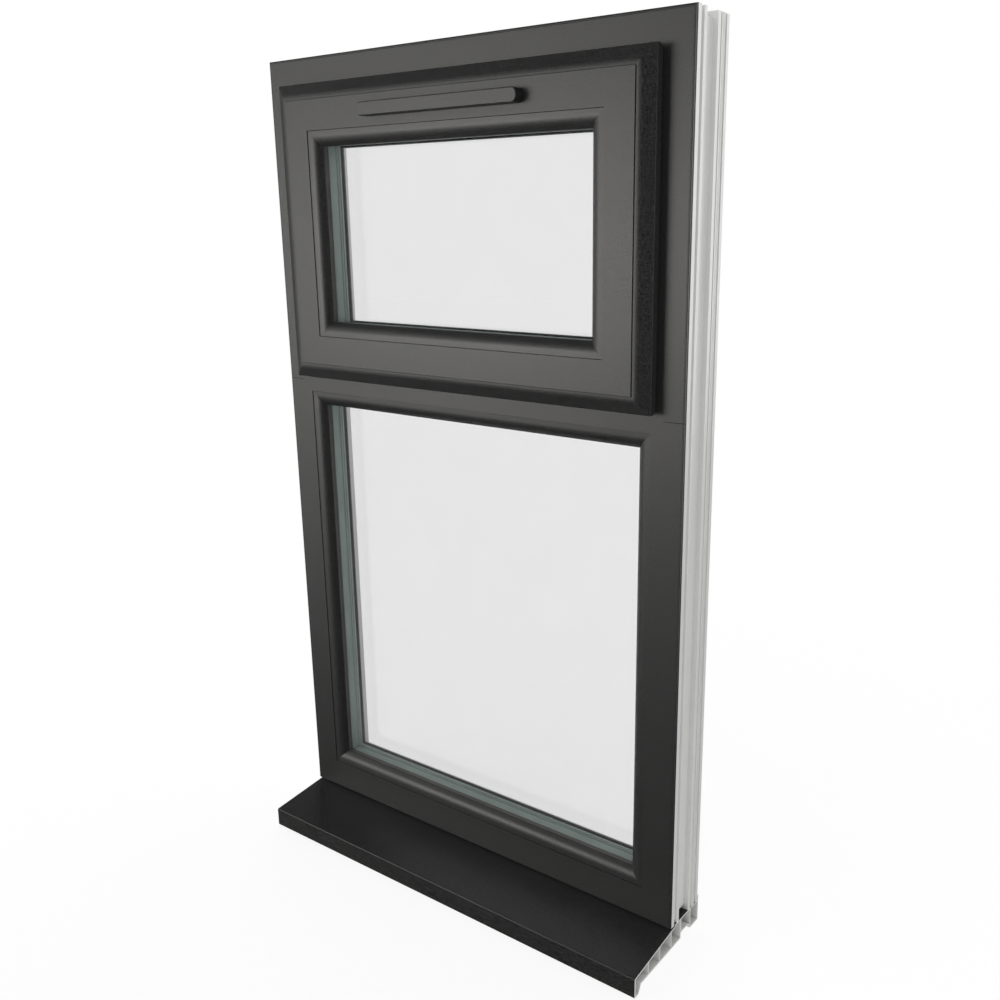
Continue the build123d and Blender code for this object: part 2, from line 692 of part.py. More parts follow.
def stay_track(side):
    """Channel screwed to the jamb, with lips that hold the shoe."""
    floor = FACE - FLOOR_DROP
    y0 = TRACK_Y - TRACK_WIDE / 2
    y1 = TRACK_Y + TRACK_WIDE / 2
    z1, z0 = [HINGE_Z - drop for drop in track_ends()]
    track = side_block(side, floor, floor + TRACK_RISE, y0, y1, z0, z1)
    track -= side_block(side, floor + TRACK_SHEET, floor + TRACK_RISE - 0.8, y0 + 1.2, y1 - 1.2, z0 - 1, z1 + 1)
    track -= side_block(side, floor + 1, floor + TRACK_RISE + 1, y0 + 3.8, y1 - 3.8, z0 - 1, z1 + 1)
    for z in track_screw_heights():
        track -= screw_hole(side, floor - 1, floor + 2, TRACK_Y, z)
    return track


def stay_shoe(side):
    """Sliding shoe with the hole for the lower rivet."""
    floor = FACE - FLOOR_DROP
    y, z = stay_places()[1]
    half = SHOE_LONG / 2
    shoe = side_block(side, floor + TRACK_SHEET + 0.2, floor + 2.35, y - 7.8, y + 7.8, z - half, z + half)
    shoe += side_block(side, floor + 2.35, floor + 5.9, y - 5.1, y + 5.1, z - half, z + half)
    return shoe - side_rod(side, floor, floor + 8, y, z, STAY_RIVET[0] + 0.1)


def stay_arm(side):
    """Arm from the sash bar to the shoe, with a rivet at each end."""
    floor = FACE - FLOOR_DROP
    (y1, z1), (y0, z0) = stay_places()
    wide, thick = STAY_STRIP
    u0 = floor + 6.2
    u1 = u0 + thick
    flat = side_block(side, u0, u1, -wide / 2, wide / 2, 0, STAY_ARM)
    for z in (0, STAY_ARM):
        flat += side_rod(side, u0, u1, 0, z, wide / 2)
    flat += screw_prism(side, floor + 1.9, u0, 0, 0, STAY_RIVET[0])
    flat += screw_prism(side, u1, floor + 15.6, 0, STAY_ARM, STAY_RIVET[1])
    flat += screw_prism(side, u1, u1 + 1.0, 0, 0, 1.6 * STAY_RIVET[0])
    return Pos(0, y0, z0) * Rot(-STAY_TILT, 0, 0) * flat


def stay_bar(side):
    """Bar in the sash groove that carries the arm's upper pivot."""
    y, z = stay_places()[0]
    front, back, deep = HARDWARE_GROOVE
    u1 = SASH_INSET + SASH_SIDE + deep
    z1, z0 = [HINGE_Z - drop for drop in bar_ends()]
    bar_solid = side_block(side, u1 - BAR_SHEET, u1, front + 1, back - 1, z0, z1)
    bar_solid -= side_rod(side, u1 - 4, u1 + 1, y, z, STAY_RIVET[1] + 0.1)
    for height in bar_screw_heights():
        bar_solid -= screw_hole(side, u1 - 4, u1 + 1, BAR_SCREW_Y, height)
    return bar_solid


def screw(side, u0, y, z, outward):
    """Pan-head screw along X; outward is +1 when its head points to the middle of the window."""
    radius, head_radius, head_high, length = SCREW
    head = screw_prism(side, u0, u0 + outward * head_high, y, z, head_radius)
    return head + screw_prism(side, u0, u0 - outward * length, y, z, radius)


def frame_screws():
    """Screws of both tracks."""
    base = FACE - FLOOR_DROP + TRACK_SHEET
    pieces = []
    for side in (-1, 1):
        for z in track_screw_heights():
            pieces.append(screw(side, base, TRACK_Y, z, 1))
    return Compound(children=pieces)


def sash_screws():
    """Screws of both sash bars."""
    base = SASH_INSET + SASH_SIDE + HARDWARE_GROOVE[2] - BAR_SHEET
    pieces = []
    for side in (-1, 1):
        for z in bar_screw_heights():
            pieces.append(screw(side, base, BAR_SCREW_Y, z, -1))
    return Compound(children=pieces)


def handle_screw_places():
    """X and Z of the two screws that hold the handle."""
    z = SASH_CELL[2] + SPINDLE_U
    return [(-HANDLE_SCREW_X, z), (HANDLE_SCREW_X, z)]


def handle_screws():
    """Machine screws through the handle base."""
    radius, head_radius, head_high, length = HANDLE_SCREW
    seat = SASH_BACK + length / 2
    pieces = []
    for x, z in handle_screw_places():
        shank = plate_y(flats(x, z, radius), seat - length, seat)
        pieces.append(shank + plate_y(flats(x, z, head_radius), seat, seat + head_high))
    return Compound(children=pieces)


def faceplate():
    """Long plate over the sash groove, slotted for the roller cams."""
    z1 = SASH_CELL[2] + SASH_SIDE
    length, wide, thick = FACEPLATE
    plate = block(-length / 2, length / 2, GEAR_Y - wide / 2, GEAR_Y + wide / 2, z1 - thick, z1)
    plate = fillet(plate.edges().filter_by(Axis.Z), 6.0)
    for x in CAM_X:
        mid = x + CAM_TRAVEL / 2
        plate -= block(mid - CAM_TRAVEL / 2, mid + CAM_TRAVEL / 2, GEAR_Y - 4.5, GEAR_Y + 4.5, z1 - 3, z1 + 1)
        for end in (-1, 1):
            plate -= rod_z(mid + end * CAM_TRAVEL / 2, GEAR_Y, z1 - 3, z1 + 1, 4.5)
    return plate


def plate_y(points, y0, y1):
    """Prism along Y over a closed line of (x, z) points."""
    corners = [Vector(x, y0, z) for x, z in points]
    face = Face(Wire.make_polygon(corners, close=True))
    return Part() + Solid.extrude(face, Vector(0, y1 - y0, 0))


def lock_rod():
    """Sliding rod in the groove with two roller cams and a toothed rack under the hub."""
    z = SASH_CELL[2] + SASH_SIDE
    length, wide, thick = ROD
    top = z + CLEAR + thick
    rod = block(-length / 2, length / 2, GEAR_Y - wide / 2, GEAR_Y + wide / 2, z + CLEAR, top)
    for x in CAM_X:
        rod += rod_z(x, GEAR_Y, z - 8.5, z + CLEAR, CAM_RADIUS)
    pitch = pi * GEAR_MODULE
    middle = SASH_CELL[2] + SPINDLE_U - PITCH_RADIUS
    tip = middle + 0.8 * GEAR_MODULE
    root = middle - GEAR_MODULE
    slope = tan(radians(GEAR_PRESSURE))
    points = [(pitch, top - 0.1), (pitch, root)]
    half = (pitch - GEAR_PLAY) / 4
    half_root = half + GEAR_MODULE * slope
    half_tip = half - 0.8 * GEAR_MODULE * slope
    for index in range(0, -6, -1):
        centre = (index + 0.5) * pitch
        points += [(centre + half_root, root), (centre + half_tip, tip),
                   (centre - half_tip, tip), (centre - half_root, root)]
    points += [(-5 * pitch, root), (-5 * pitch, top - 0.1)]
    return rod + plate_y(points, GEAR_Y - 3.5, GEAR_Y + 3.5)


def gearbox():
    """Case of the lock in its pocket, open towards the rod."""
    low = SASH_CELL[2]
    length, thick = CASE
    skin = 1.6
    top = low + SPINDLE_U + 8.9
    front = GEAR_Y - thick / 2
    case = block(-length / 2, length / 2, front, front + thick, low + SASH_SIDE + 3.2, top)
    case -= block(skin - length / 2, length / 2 - skin, front + skin, front + thick - skin,
                  low + SASH_SIDE + 2, top - 1.5)
    return case - plate_y(flats(0, low + SPINDLE_U, 6.2), front - 2, front + thick + 2)


def gear_tooth(turn):
    """Involute tooth as (x, z) points about the hub; turn is its angle from straight down, in radians."""
    pressure = radians(GEAR_PRESSURE)
    base = PITCH_RADIUS * cos(pressure)
    root = PITCH_RADIUS - GEAR_MODULE - 0.1
    outer = PITCH_RADIUS + 0.8 * GEAR_MODULE
    half_pitch = (pi * GEAR_MODULE - GEAR_PLAY) / 4 / PITCH_RADIUS + tan(pressure) - pressure
    flank = [(root - 0.5, half_pitch)]
    for index in range(5):
        radius = base + (outer - base) * index / 4
        angle = acos(base / radius)
        flank.append((radius, half_pitch - (tan(angle) - angle)))
    points = [(radius, turn + half) for radius, half in flank]
    points += [(radius, turn - half) for radius, half in reversed(flank)]
    return [(radius * sin(angle), -radius * cos(angle)) for radius, angle in points]


def follower():
    """Hub inside the gearbox with a toothed sector that drives the rack."""
    z = SASH_CELL[2] + SPINDLE_U
    step = 2 * pi / GEAR_TEETH
    root = PITCH_RADIUS - GEAR_MODULE - 0.1
    sector = [(0.0, 0.0)]
    for index in range(-22, 7):
        angle = index * step / 4
        sector.append((root * sin(angle), -root * cos(angle)))
    shapes = [sector] + [gear_tooth(index * step) for index in range(-5, 2)]
    hub = rod_y(0, z, 22.3, 31.7, HUB)
    for points in shapes:
        hub += plate_y([(x, z + dz) for x, dz in points], 22.3, 31.7)
    return hub - block(-SPINDLE / 2, SPINDLE / 2, 20, 34, z - SPINDLE / 2, z + SPINDLE / 2)


def handle_base():
    """Base plate of the handle on the room side of the bottom rail."""
    z = SASH_CELL[2] + SPINDLE_U
    y0 = SASH_BACK
    length, high, thick = HANDLE_BASE
    base = block(-length / 2, length / 2, y0, y0 + thick, z - high / 2, z + high / 2)
    base = fillet(base.edges().filter_by(Axis.Y), 9.0)
    base = chamfer(base.faces().sort_by(Axis.Y)[-1].edges(), 1.8)
    base -= plate_y(flats(0, z, 5.6), y0 - 1, y0 + thick + 1)
    radius, head_radius, _, length = HANDLE_SCREW
    for x, height in handle_screw_places():
        base -= plate_y(flats(x, height, radius + SCREW_PLAY), y0 - 1, y0 + thick + 1)
        base -= plate_y(flats(x, height, head_radius + SCREW_PLAY), y0 + length / 2, y0 + thick + 1)
    return base


def handle_lever():
    """Lever: round boss, raised neck and a flattened grip that points to the right at rest."""
    z = SASH_CELL[2] + SPINDLE_U
    y0 = SASH_BACK + HANDLE_BASE[2] + CLEAR
    radius, rise = LEVER_BOSS
    high, thick = LEVER_GRIP
    boss = rod_y(0, z, y0, y0 + rise, radius)
    grip = block(0.5 - radius, LEVER_REACH, y0 + 8.0, y0 + 8.0 + thick, z - high / 2, z + high / 2)
    grip = fillet(grip.edges().filter_by(Axis.Y), high / 2 - 0.5)
    grip = chamfer(grip.faces().sort_by(Axis.Y)[-1].edges(), 2.6)
    lever = boss + grip
    lever -= block(-SPINDLE / 2, SPINDLE / 2, y0 - 1, y0 + 6, z - SPINDLE / 2, z + SPINDLE / 2)
    return lever - rod_y(0, z, y0 + 11.0, y0 + 22, 4.3)


def spindle():
    """Square bar that joins the lever to the hub in the gearbox."""
    z = SASH_CELL[2] + SPINDLE_U
    half = SPINDLE / 2
    return block(-half, half, 22.0, SASH_BACK + HANDLE_BASE[2] + CLEAR + 6.0, z - half, z + half)


def lock_button():
    """Push button in the middle of the lever."""
    z = SASH_CELL[2] + SPINDLE_U
    y0 = SASH_BACK + HANDLE_BASE[2] + CLEAR
    return rod_y(0, z, y0 + 14.0, y0 + 22.5, 4.0)


def keeps():
    """Two keeps on the transom; each hook stands in front of a cam once the lock is thrown."""
    z0 = CENTRE_Z + TRANSOM_HALF - FLOOR_DROP
    length, wide, thick = KEEP
    hook_long, hook_thick, hook_high = HOOK
    z1 = z0 + thick
    z2 = z1 + hook_high
    y1 = GEAR_Y - CAM_RADIUS - 0.7
    y0 = y1 - hook_thick
    pieces = []
    for x in CAM_X:
        left = x + CAM_TRAVEL / 2 - 0.4
        right = left + hook_long
        keep = block(right - length + 11, right + 11, y0 - CAM_RADIUS, y0 - CAM_RADIUS + wide, z0, z1)
        keep += block(left, right, y0, y1, z1, z2)
        keep += block(right, right + 2.5, y0, y0 + 15, z1, z2)
        pieces.append(Part() + keep)
    return Compound(children=pieces)


def seals():
    """Weather seals: one on the back of the sash lip, one on the leg of the frame."""
    outer = ring(SASH_CELL, 2.6, 7.2, LIP_BACK, -CLEAR)
    inner = ring(TOP_CELL, FACE + 12.8, FACE + 17.8, SASH_BACK + CLEAR, LEG)
    return outer, inner


def save(name, shape):
    """Write one node."""
    export_step(shape, os.path.join("parts", name + ".step"))
    print(name, "volume", round(shape.volume), "solids", len(shape.solids()))


def main():
    os.makedirs("parts", exist_ok=True)
    frame = outer_frame()
    for z in track_screw_heights():
        for side, name in ((-1, "left"), (1, "right")):
            frame[name] -= screw_hole(side, FACE - FLOOR_DROP - SCREW[3] - 2, FACE, TRACK_Y, z)
    save("frame_head", frame["top"])
    save("frame_bottom_rail", frame["bottom"])
    save("frame_jamb_left", frame["left"])
    save("frame_jamb_right", frame["right"])
    save("transom", transom())
    steels = jamb_steels()
    save("steel_jamb_left", steels["left"])
    save("steel_jamb_right", steels["right"])
    save("steel_transom", transom_steel())
    save("cill", cill())

    for side, bead in four_bars(bead_section(FACE, 0.0), LOW_CELL).items():
        save("fixed_bead_" + side, bead)
    for name, piece in glazing(LOW_CELL, FACE, 0.0).items():
        save("fixed_" + name, piece)
    save("fixed_packers", packers(LOW_CELL, FACE, 0.0, (-WIDTH / 4, WIDTH / 4),
                                  (LOW_CELL[2] + PACKER * 1.5, LOW_CELL[3] - PACKER * 1.5)))

    bars = sash()
    save("sash_top_rail", bars["top"])
    save("sash_bottom_rail", bars["bottom"])
    save("sash_stile_left", bars["left"])
    save("sash_stile_right", bars["right"])
    for side, bead in four_bars(bead_section(SASH_STEP, SASH_FACE_Y), SASH_CELL).items():
        save("vent_bead_" + side, bead)
    for name, piece in glazing(SASH_CELL, SASH_STEP, SASH_FACE_Y).items():
        save("vent_" + name, piece)
    save("vent_packers", packers(SASH_CELL, SASH_STEP, SASH_FACE_Y, (-WIDTH / 5, WIDTH / 5),
                                 (SASH_CELL[3] - PACKER * 1.5,)))

    outer_seal, inner_seal = seals()
    save("sash_seal", outer_seal)
    save("frame_seal", inner_seal)
    save("trickle_canopy", canopy())
    save("trickle_grille", vent_grille())
    save("trickle_flap", vent_flap())

    for side, name in ((-1, "left"), (1, "right")):
        save("stay_track_" + name, stay_track(side))
        save("stay_bar_" + name, stay_bar(side))
        save("stay_arm_" + name, stay_arm(side))
        save("stay_shoe_" + name, stay_shoe(side))
    save("track_screws", frame_screws())
    save("bar_screws", sash_screws())

    save("lock_faceplate", faceplate())
    save("lock_rod", lock_rod())
    save("lock_gearbox", gearbox())
    save("lock_follower", follower())
    save("lock_keeps", keeps())
    save("handle_base", handle_base())
    save("handle_lever", handle_lever())
    save("handle_spindle", spindle())
    save("handle_button", lock_button())
    save("handle_screws", handle_screws())


if __name__ == "__main__":
    main()
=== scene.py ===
"""Top-hung window in anthracite foil: materials, refined surfaces, studio and camera.

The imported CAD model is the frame. Bars, beads, gaskets, spacers, panes, the cill and the rain hood are
made again here from finer sections, with eased edges and two finishes on one bar, and stand for the CAD
nodes of the same name. Sections are in millimetres and become metres when a mesh is written.
"""

import json
import logging
from dataclasses import dataclass, field
from enum import Enum
from math import pi, radians
from typing import Callable, Sequence

import bpy
import numpy as np
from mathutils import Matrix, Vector
from mathutils.geometry import delaunay_2d_cdt, tessellate_polygon

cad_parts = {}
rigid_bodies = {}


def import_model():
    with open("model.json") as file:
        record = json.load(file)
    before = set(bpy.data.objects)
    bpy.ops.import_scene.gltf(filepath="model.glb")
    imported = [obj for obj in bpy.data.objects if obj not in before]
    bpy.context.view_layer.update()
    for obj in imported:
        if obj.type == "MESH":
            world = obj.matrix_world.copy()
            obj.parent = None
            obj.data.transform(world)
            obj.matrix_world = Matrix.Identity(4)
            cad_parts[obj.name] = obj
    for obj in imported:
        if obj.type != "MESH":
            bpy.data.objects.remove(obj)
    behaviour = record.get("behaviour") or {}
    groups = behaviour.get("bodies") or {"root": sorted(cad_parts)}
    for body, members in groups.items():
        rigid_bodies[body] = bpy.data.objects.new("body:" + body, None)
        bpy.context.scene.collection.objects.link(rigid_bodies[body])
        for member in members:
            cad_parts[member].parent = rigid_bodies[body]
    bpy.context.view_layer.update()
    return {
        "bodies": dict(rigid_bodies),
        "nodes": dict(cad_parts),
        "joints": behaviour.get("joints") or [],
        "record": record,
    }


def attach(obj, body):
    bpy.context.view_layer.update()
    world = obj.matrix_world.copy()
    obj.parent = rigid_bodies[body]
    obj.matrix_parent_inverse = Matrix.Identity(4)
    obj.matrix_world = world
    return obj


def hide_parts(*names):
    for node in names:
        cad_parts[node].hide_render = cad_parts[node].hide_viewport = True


LOG = logging.getLogger("window")
MM = 0.001
# Blender's noise keeps mostly between these two values
NOISE_LOW, NOISE_HIGH = 0.3, 0.7
# Points nearer than this are one, a point this near a level lies on it, and the net's own tolerance
SAME_POINT, ON_LEVEL, NET_TOLERANCE = 1e-5, 1e-6, 1e-7
# Largest share of a side that the easing of a corner takes
EASE_SHARE = 0.45
# Numbers of the two finishes on a foiled bar
FOILED, PLAIN = 0, 1

Loop = np.ndarray
Tree = bpy.types.NodeTree
Pair = tuple[float, float]
Triple = tuple[float, float, float]
Chamber = tuple[float, float, float, float]
Groove = tuple[float, float, float, Triple]
Station = Callable[[np.ndarray, np.ndarray], np.ndarray]


# Finishes


def linear(code: str) -> tuple[float, float, float, float]:
    """Turn an sRGB hex colour into linear RGBA.

    Args:
        code: Six hex digits, with or without a leading hash.

    Returns:
        Linear red, green, blue and an alpha of 1.
    """
    text = code.lstrip("#")
    raw = np.array([int(text[i:i + 2], 16) for i in (0, 2, 4)]) / 255.0
    value = np.where(raw <= 0.04045, raw / 12.92, ((raw + 0.055) / 1.055) ** 2.4)
    return (float(value[0]), float(value[1]), float(value[2]), 1.0)


def add_node(
        tree: Tree, kind: str, settings: dict | None = None, links: dict | None = None) -> bpy.types.Node:
    """Add one shader node.

    Args:
        tree: Node tree that gets the node.
        kind: Blender's name of the node type, without ShaderNode.
        settings: Attribute names or input names with their values.
        links: Input names or numbers with the output sockets that feed them.

    Returns:
        The new node.
    """
    node = tree.nodes.new("ShaderNode" + kind)
    for name, value in (settings or {}).items():
        if isinstance(name, str) and hasattr(node, name):
            setattr(node, name, value)
        else:
            node.inputs[name].default_value = value
    for name, socket in (links or {}).items():
        tree.links.new(socket, node.inputs[name])
    return node


def start_material(name: str) -> tuple[bpy.types.Material, Tree | None]:
    """Find a material, or start a new one.

    Args:
        name: Name of the finish.

    Returns:
        The material, and its empty node tree if it is new.
    """
    found = bpy.data.materials.get(name)
    if found is not None:
        return found, None
    material = bpy.data.materials.new(name)
    material.use_nodes = True
    material.node_tree.nodes.clear()
    return material, material.node_tree


class Slot(Enum):
    """Material slots of the record."""

    FOIL = "anthracite_foil"
    CANOPY = "black_plastic"
    WHITE = "white_pvc"
    GALVANISED = "galvanised"
    GLASS = "float_glass"
    SPACER = "spacer_bar"
    SEALANT = "edge_sealant"
    GASKET = "grey_gasket"
    SEAL = "black_seal"
    PACKER = "packer_plastic"
    STAY = "stay_steel"
    SHOE = "shoe_plastic"
    ZINC = "zinc_steel"
    HANDLE = "handle_paint"
    BUTTON = "button_chrome"


@dataclass(frozen=True)
class Finish:
    """Surface with a fine grain in colour, gloss and relief.

    The grain is noise on Object coordinates, one feature each grain_mm, and a slow cloud of cloud_mm
    moves the colour by cloud_share. Colour and fleck lie at 0.5 - spread and 0.5 + spread of the noise.
    """

    name: str
    colour: str
    fleck: str
    roughness: float
    grain_mm: float
    relief_mm: float
    metallic: float = 0.0
    ior: float = 1.5
    cloud_mm: float = 60.0
    cloud_share: float = 0.06
    stretch: Triple = (1.0, 1.0, 1.0)
    gloss_swing: float = 0.05
    spread: float = 0.2

    def make(self) -> bpy.types.Material:
        """Build the material, if it isn't there already.

        Returns:
            The material.
        """
        material, tree = start_material(self.name)
        if tree is None:
            return material
        place = add_node(tree, "TexCoord").outputs["Object"]
        mapping = add_node(tree, "Mapping", {"Scale": self.stretch}, {"Vector": place})
        grain = add_node(
            tree, "TexNoise", {"Scale": 1.0 / (self.grain_mm * MM), "Detail": 3.0, "Roughness": 0.6},
            {"Vector": mapping.outputs["Vector"]}).outputs["Fac"]
        cloud = add_node(
            tree, "TexNoise", {"Scale": 1.0 / (self.cloud_mm * MM), "Detail": 2.0, "Roughness": 0.5},
            {"Vector": place}).outputs["Fac"]
        tint = add_node(tree, "ValToRGB", {}, {"Fac": grain})
        dark, light = tint.color_ramp.elements
        dark.position, dark.color = 0.5 - self.spread, linear(self.colour)
        light.position, light.color = 0.5 + self.spread, linear(self.fleck)
        share, swing = self.cloud_share, self.gloss_swing
        reach = {"From Min": NOISE_LOW, "From Max": NOISE_HIGH}
        shade = add_node(
            tree, "MapRange", reach | {"To Min": 1.0 - share, "To Max": 1.0 + share}, {"Value": cloud})
        gloss = add_node(
            tree, "MapRange", reach | {"To Min": self.roughness - swing, "To Max": self.roughness + swing},
            {"Value": grain}).outputs["Result"]
        colour = add_node(
            tree, "VectorMath", {"operation": "SCALE"},
            {0: tint.outputs["Color"], "Scale": shade.outputs["Result"]})
        bump = add_node(tree, "Bump", {"Strength": 1.0, "Distance": self.relief_mm * MM}, {"Height": grain})
        body = add_node(
            tree, "BsdfPrincipled", {"Metallic": self.metallic, "IOR": self.ior},
            {"Base Color": colour.outputs["Vector"], "Roughness": gloss, "Normal": bump.outputs["Normal"]})
        add_node(tree, "OutputMaterial", {}, {"Surface": body.outputs["BSDF"]})
        return material


@dataclass(frozen=True)
class FloatGlass:
    """Float glass: clear, with a trace of dust that takes a little of the light in slow clouds."""

    name: str = "float_glass_clear"
    colour: str = "#F4F4F4"
    dusty: str = "#F5F5F5"
    ior: float = 1.45
    dust_mm: float = 45.0
    dust_from: float = 0.35
    dust_to: float = 0.75

    def make(self) -> bpy.types.Material:
        """Build the material, if it isn't there already.

        Returns:
            The material.
        """
        material, tree = start_material(self.name)
        if tree is None:
            return material
        place = add_node(tree, "TexCoord").outputs["Object"]
        dust = add_node(
            tree, "TexNoise", {"Scale": 1.0 / (self.dust_mm * MM), "Detail": 4.0}, {"Vector": place})
        tint = add_node(tree, "ValToRGB", {}, {"Fac": dust.outputs["Fac"]})
        clear, dusty = tint.color_ramp.elements
        clear.position, clear.color = self.dust_from, linear(self.colour)
        dusty.position, dusty.color = self.dust_to, linear(self.dusty)
        body = add_node(
            tree, "BsdfPrincipled", {"Roughness": 0.0, "IOR": self.ior, "Transmission Weight": 1.0},
            {"Base Color": tint.outputs["Color"]})
        add_node(tree, "OutputMaterial", {}, {"Surface": body.outputs["BSDF"]})
        return material


# Finish of each slot. The foil's real grain is near 0.5 mm and is drawn at 1.2 mm so that it shows
FINISHES: dict[Slot, Finish | FloatGlass] = {
    # Acrylic-faced PVC foil, pressed with a very fine grain: satin, almost black
    Slot.FOIL: Finish(
        "foil_anthracite_embossed", "#040404", "#2A2A2A", 0.455, 1.2, 0.085, gloss_swing=0.1, spread=0.12),
    # The same colour moulded in ASA plastic for the rain hood
    Slot.CANOPY: Finish(
        "asa_plastic_anthracite", "#060606", "#292929", 0.455, 1.2, 0.075, gloss_swing=0.09, spread=0.12),
    # Extruded PVC: smooth, slightly glossy white
    Slot.WHITE: Finish(
        "pvc_white_extruded", "#D2D2D0", "#D8D8D6", 0.34, 1.4, 0.003, cloud_share=0.015, gloss_swing=0.02),
    # Zinc-dipped steel sheet: dull grey with spangle
    Slot.GALVANISED: Finish("steel_galvanised", "#8E9294", "#A9ADAF", 0.42, 7.0, 0.01, metallic=1.0),
    # Float glass: clear, with a trace of dust
    Slot.GLASS: FloatGlass(),
    # Warm-edge spacer bar: ribbed grey-green plastic
    Slot.SPACER: Finish("spacer_warm_edge", "#A2B2AC", "#AFBEB8", 0.5, 1.5, 0.02),
    # Polysulphide sealant: soft black
    Slot.SEALANT: Finish("polysulphide_sealant", "#161616", "#1F1F1F", 0.7, 2.5, 0.05),
    # Co-extruded flexible PVC gasket: matt dark grey
    Slot.GASKET: Finish("gasket_flexible_grey", "#484847", "#525251", 0.6, 1.4, 0.03),
    # EPDM bubble seal: matt black
    Slot.SEAL: Finish("epdm_seal_black", "#151515", "#1D1D1D", 0.65, 1.2, 0.03),
    # Moulded polypropylene glazing packer: waxy blue
    Slot.PACKER: Finish("polypropylene_packer", "#2E4E86", "#36589A", 0.5, 2.0, 0.03),
    # Ferritic stainless strip, brushed along its length
    Slot.STAY: Finish(
        "stainless_brushed", "#9C9B98", "#B4B3AF", 0.34, 0.7, 0.01, metallic=1.0, stretch=(1.0, 1.0, 0.03)),
    # Moulded acetal shoe: smooth black
    Slot.SHOE: Finish("acetal_black", "#17181A", "#1E1F21", 0.4, 1.5, 0.01),
    # Zinc-plated steel, bright with a blue cast
    Slot.ZINC: Finish("steel_zinc_plated", "#A3A6A8", "#B9BBBC", 0.3, 1.6, 0.01, metallic=1.0),
    # Zinc casting, powder-coated white: even, with the faintest peel
    Slot.HANDLE: Finish("powder_coat_white", "#E6E6E3", "#EFEFED", 0.36, 0.9, 0.02, cloud_share=0.02),
    # Polished chrome button
    Slot.BUTTON: Finish(
        "chrome_polished", "#C9C9C9", "#D3D3D3", 0.1, 2.0, 0.002, metallic=1.0, gloss_swing=0.02),
}


# Sections


@dataclass(frozen=True)
class Moulding:
    """Moulding that falls away from the face: a near-flat start, a bend, and a straight steep run."""

    flat: float
    bend: float
    run: float
    angle: float
    slope: float = 2.3

    def points(self, steps: int = 9) -> Loop:
        """Points of the moulding.

        Over the bend the slope angle grows evenly from slope to angle along a circle: the point at
        turn a lies at R (sin a - sin slope) across and R (cos slope - cos a) down, where R makes
        the bend as wide as asked.

        Args:
            steps: Number of points on the bend.

        Returns:
            Array of (across, down) points that starts at (0, 0).
        """
        low = radians(self.slope)
        high = radians(self.angle)
        radius = self.bend / (np.sin(high) - np.sin(low))
        turn = np.linspace(low, high, steps)
        drop = self.flat * np.tan(low)
        across = self.flat + radius * (np.sin(turn) - np.sin(low))
        down = drop + radius * (np.cos(low) - np.cos(turn))
        end = (across[-1] + self.run, down[-1] + self.run * np.tan(high))
        return np.vstack([(0.0, 0.0), np.column_stack([across, down]), end])


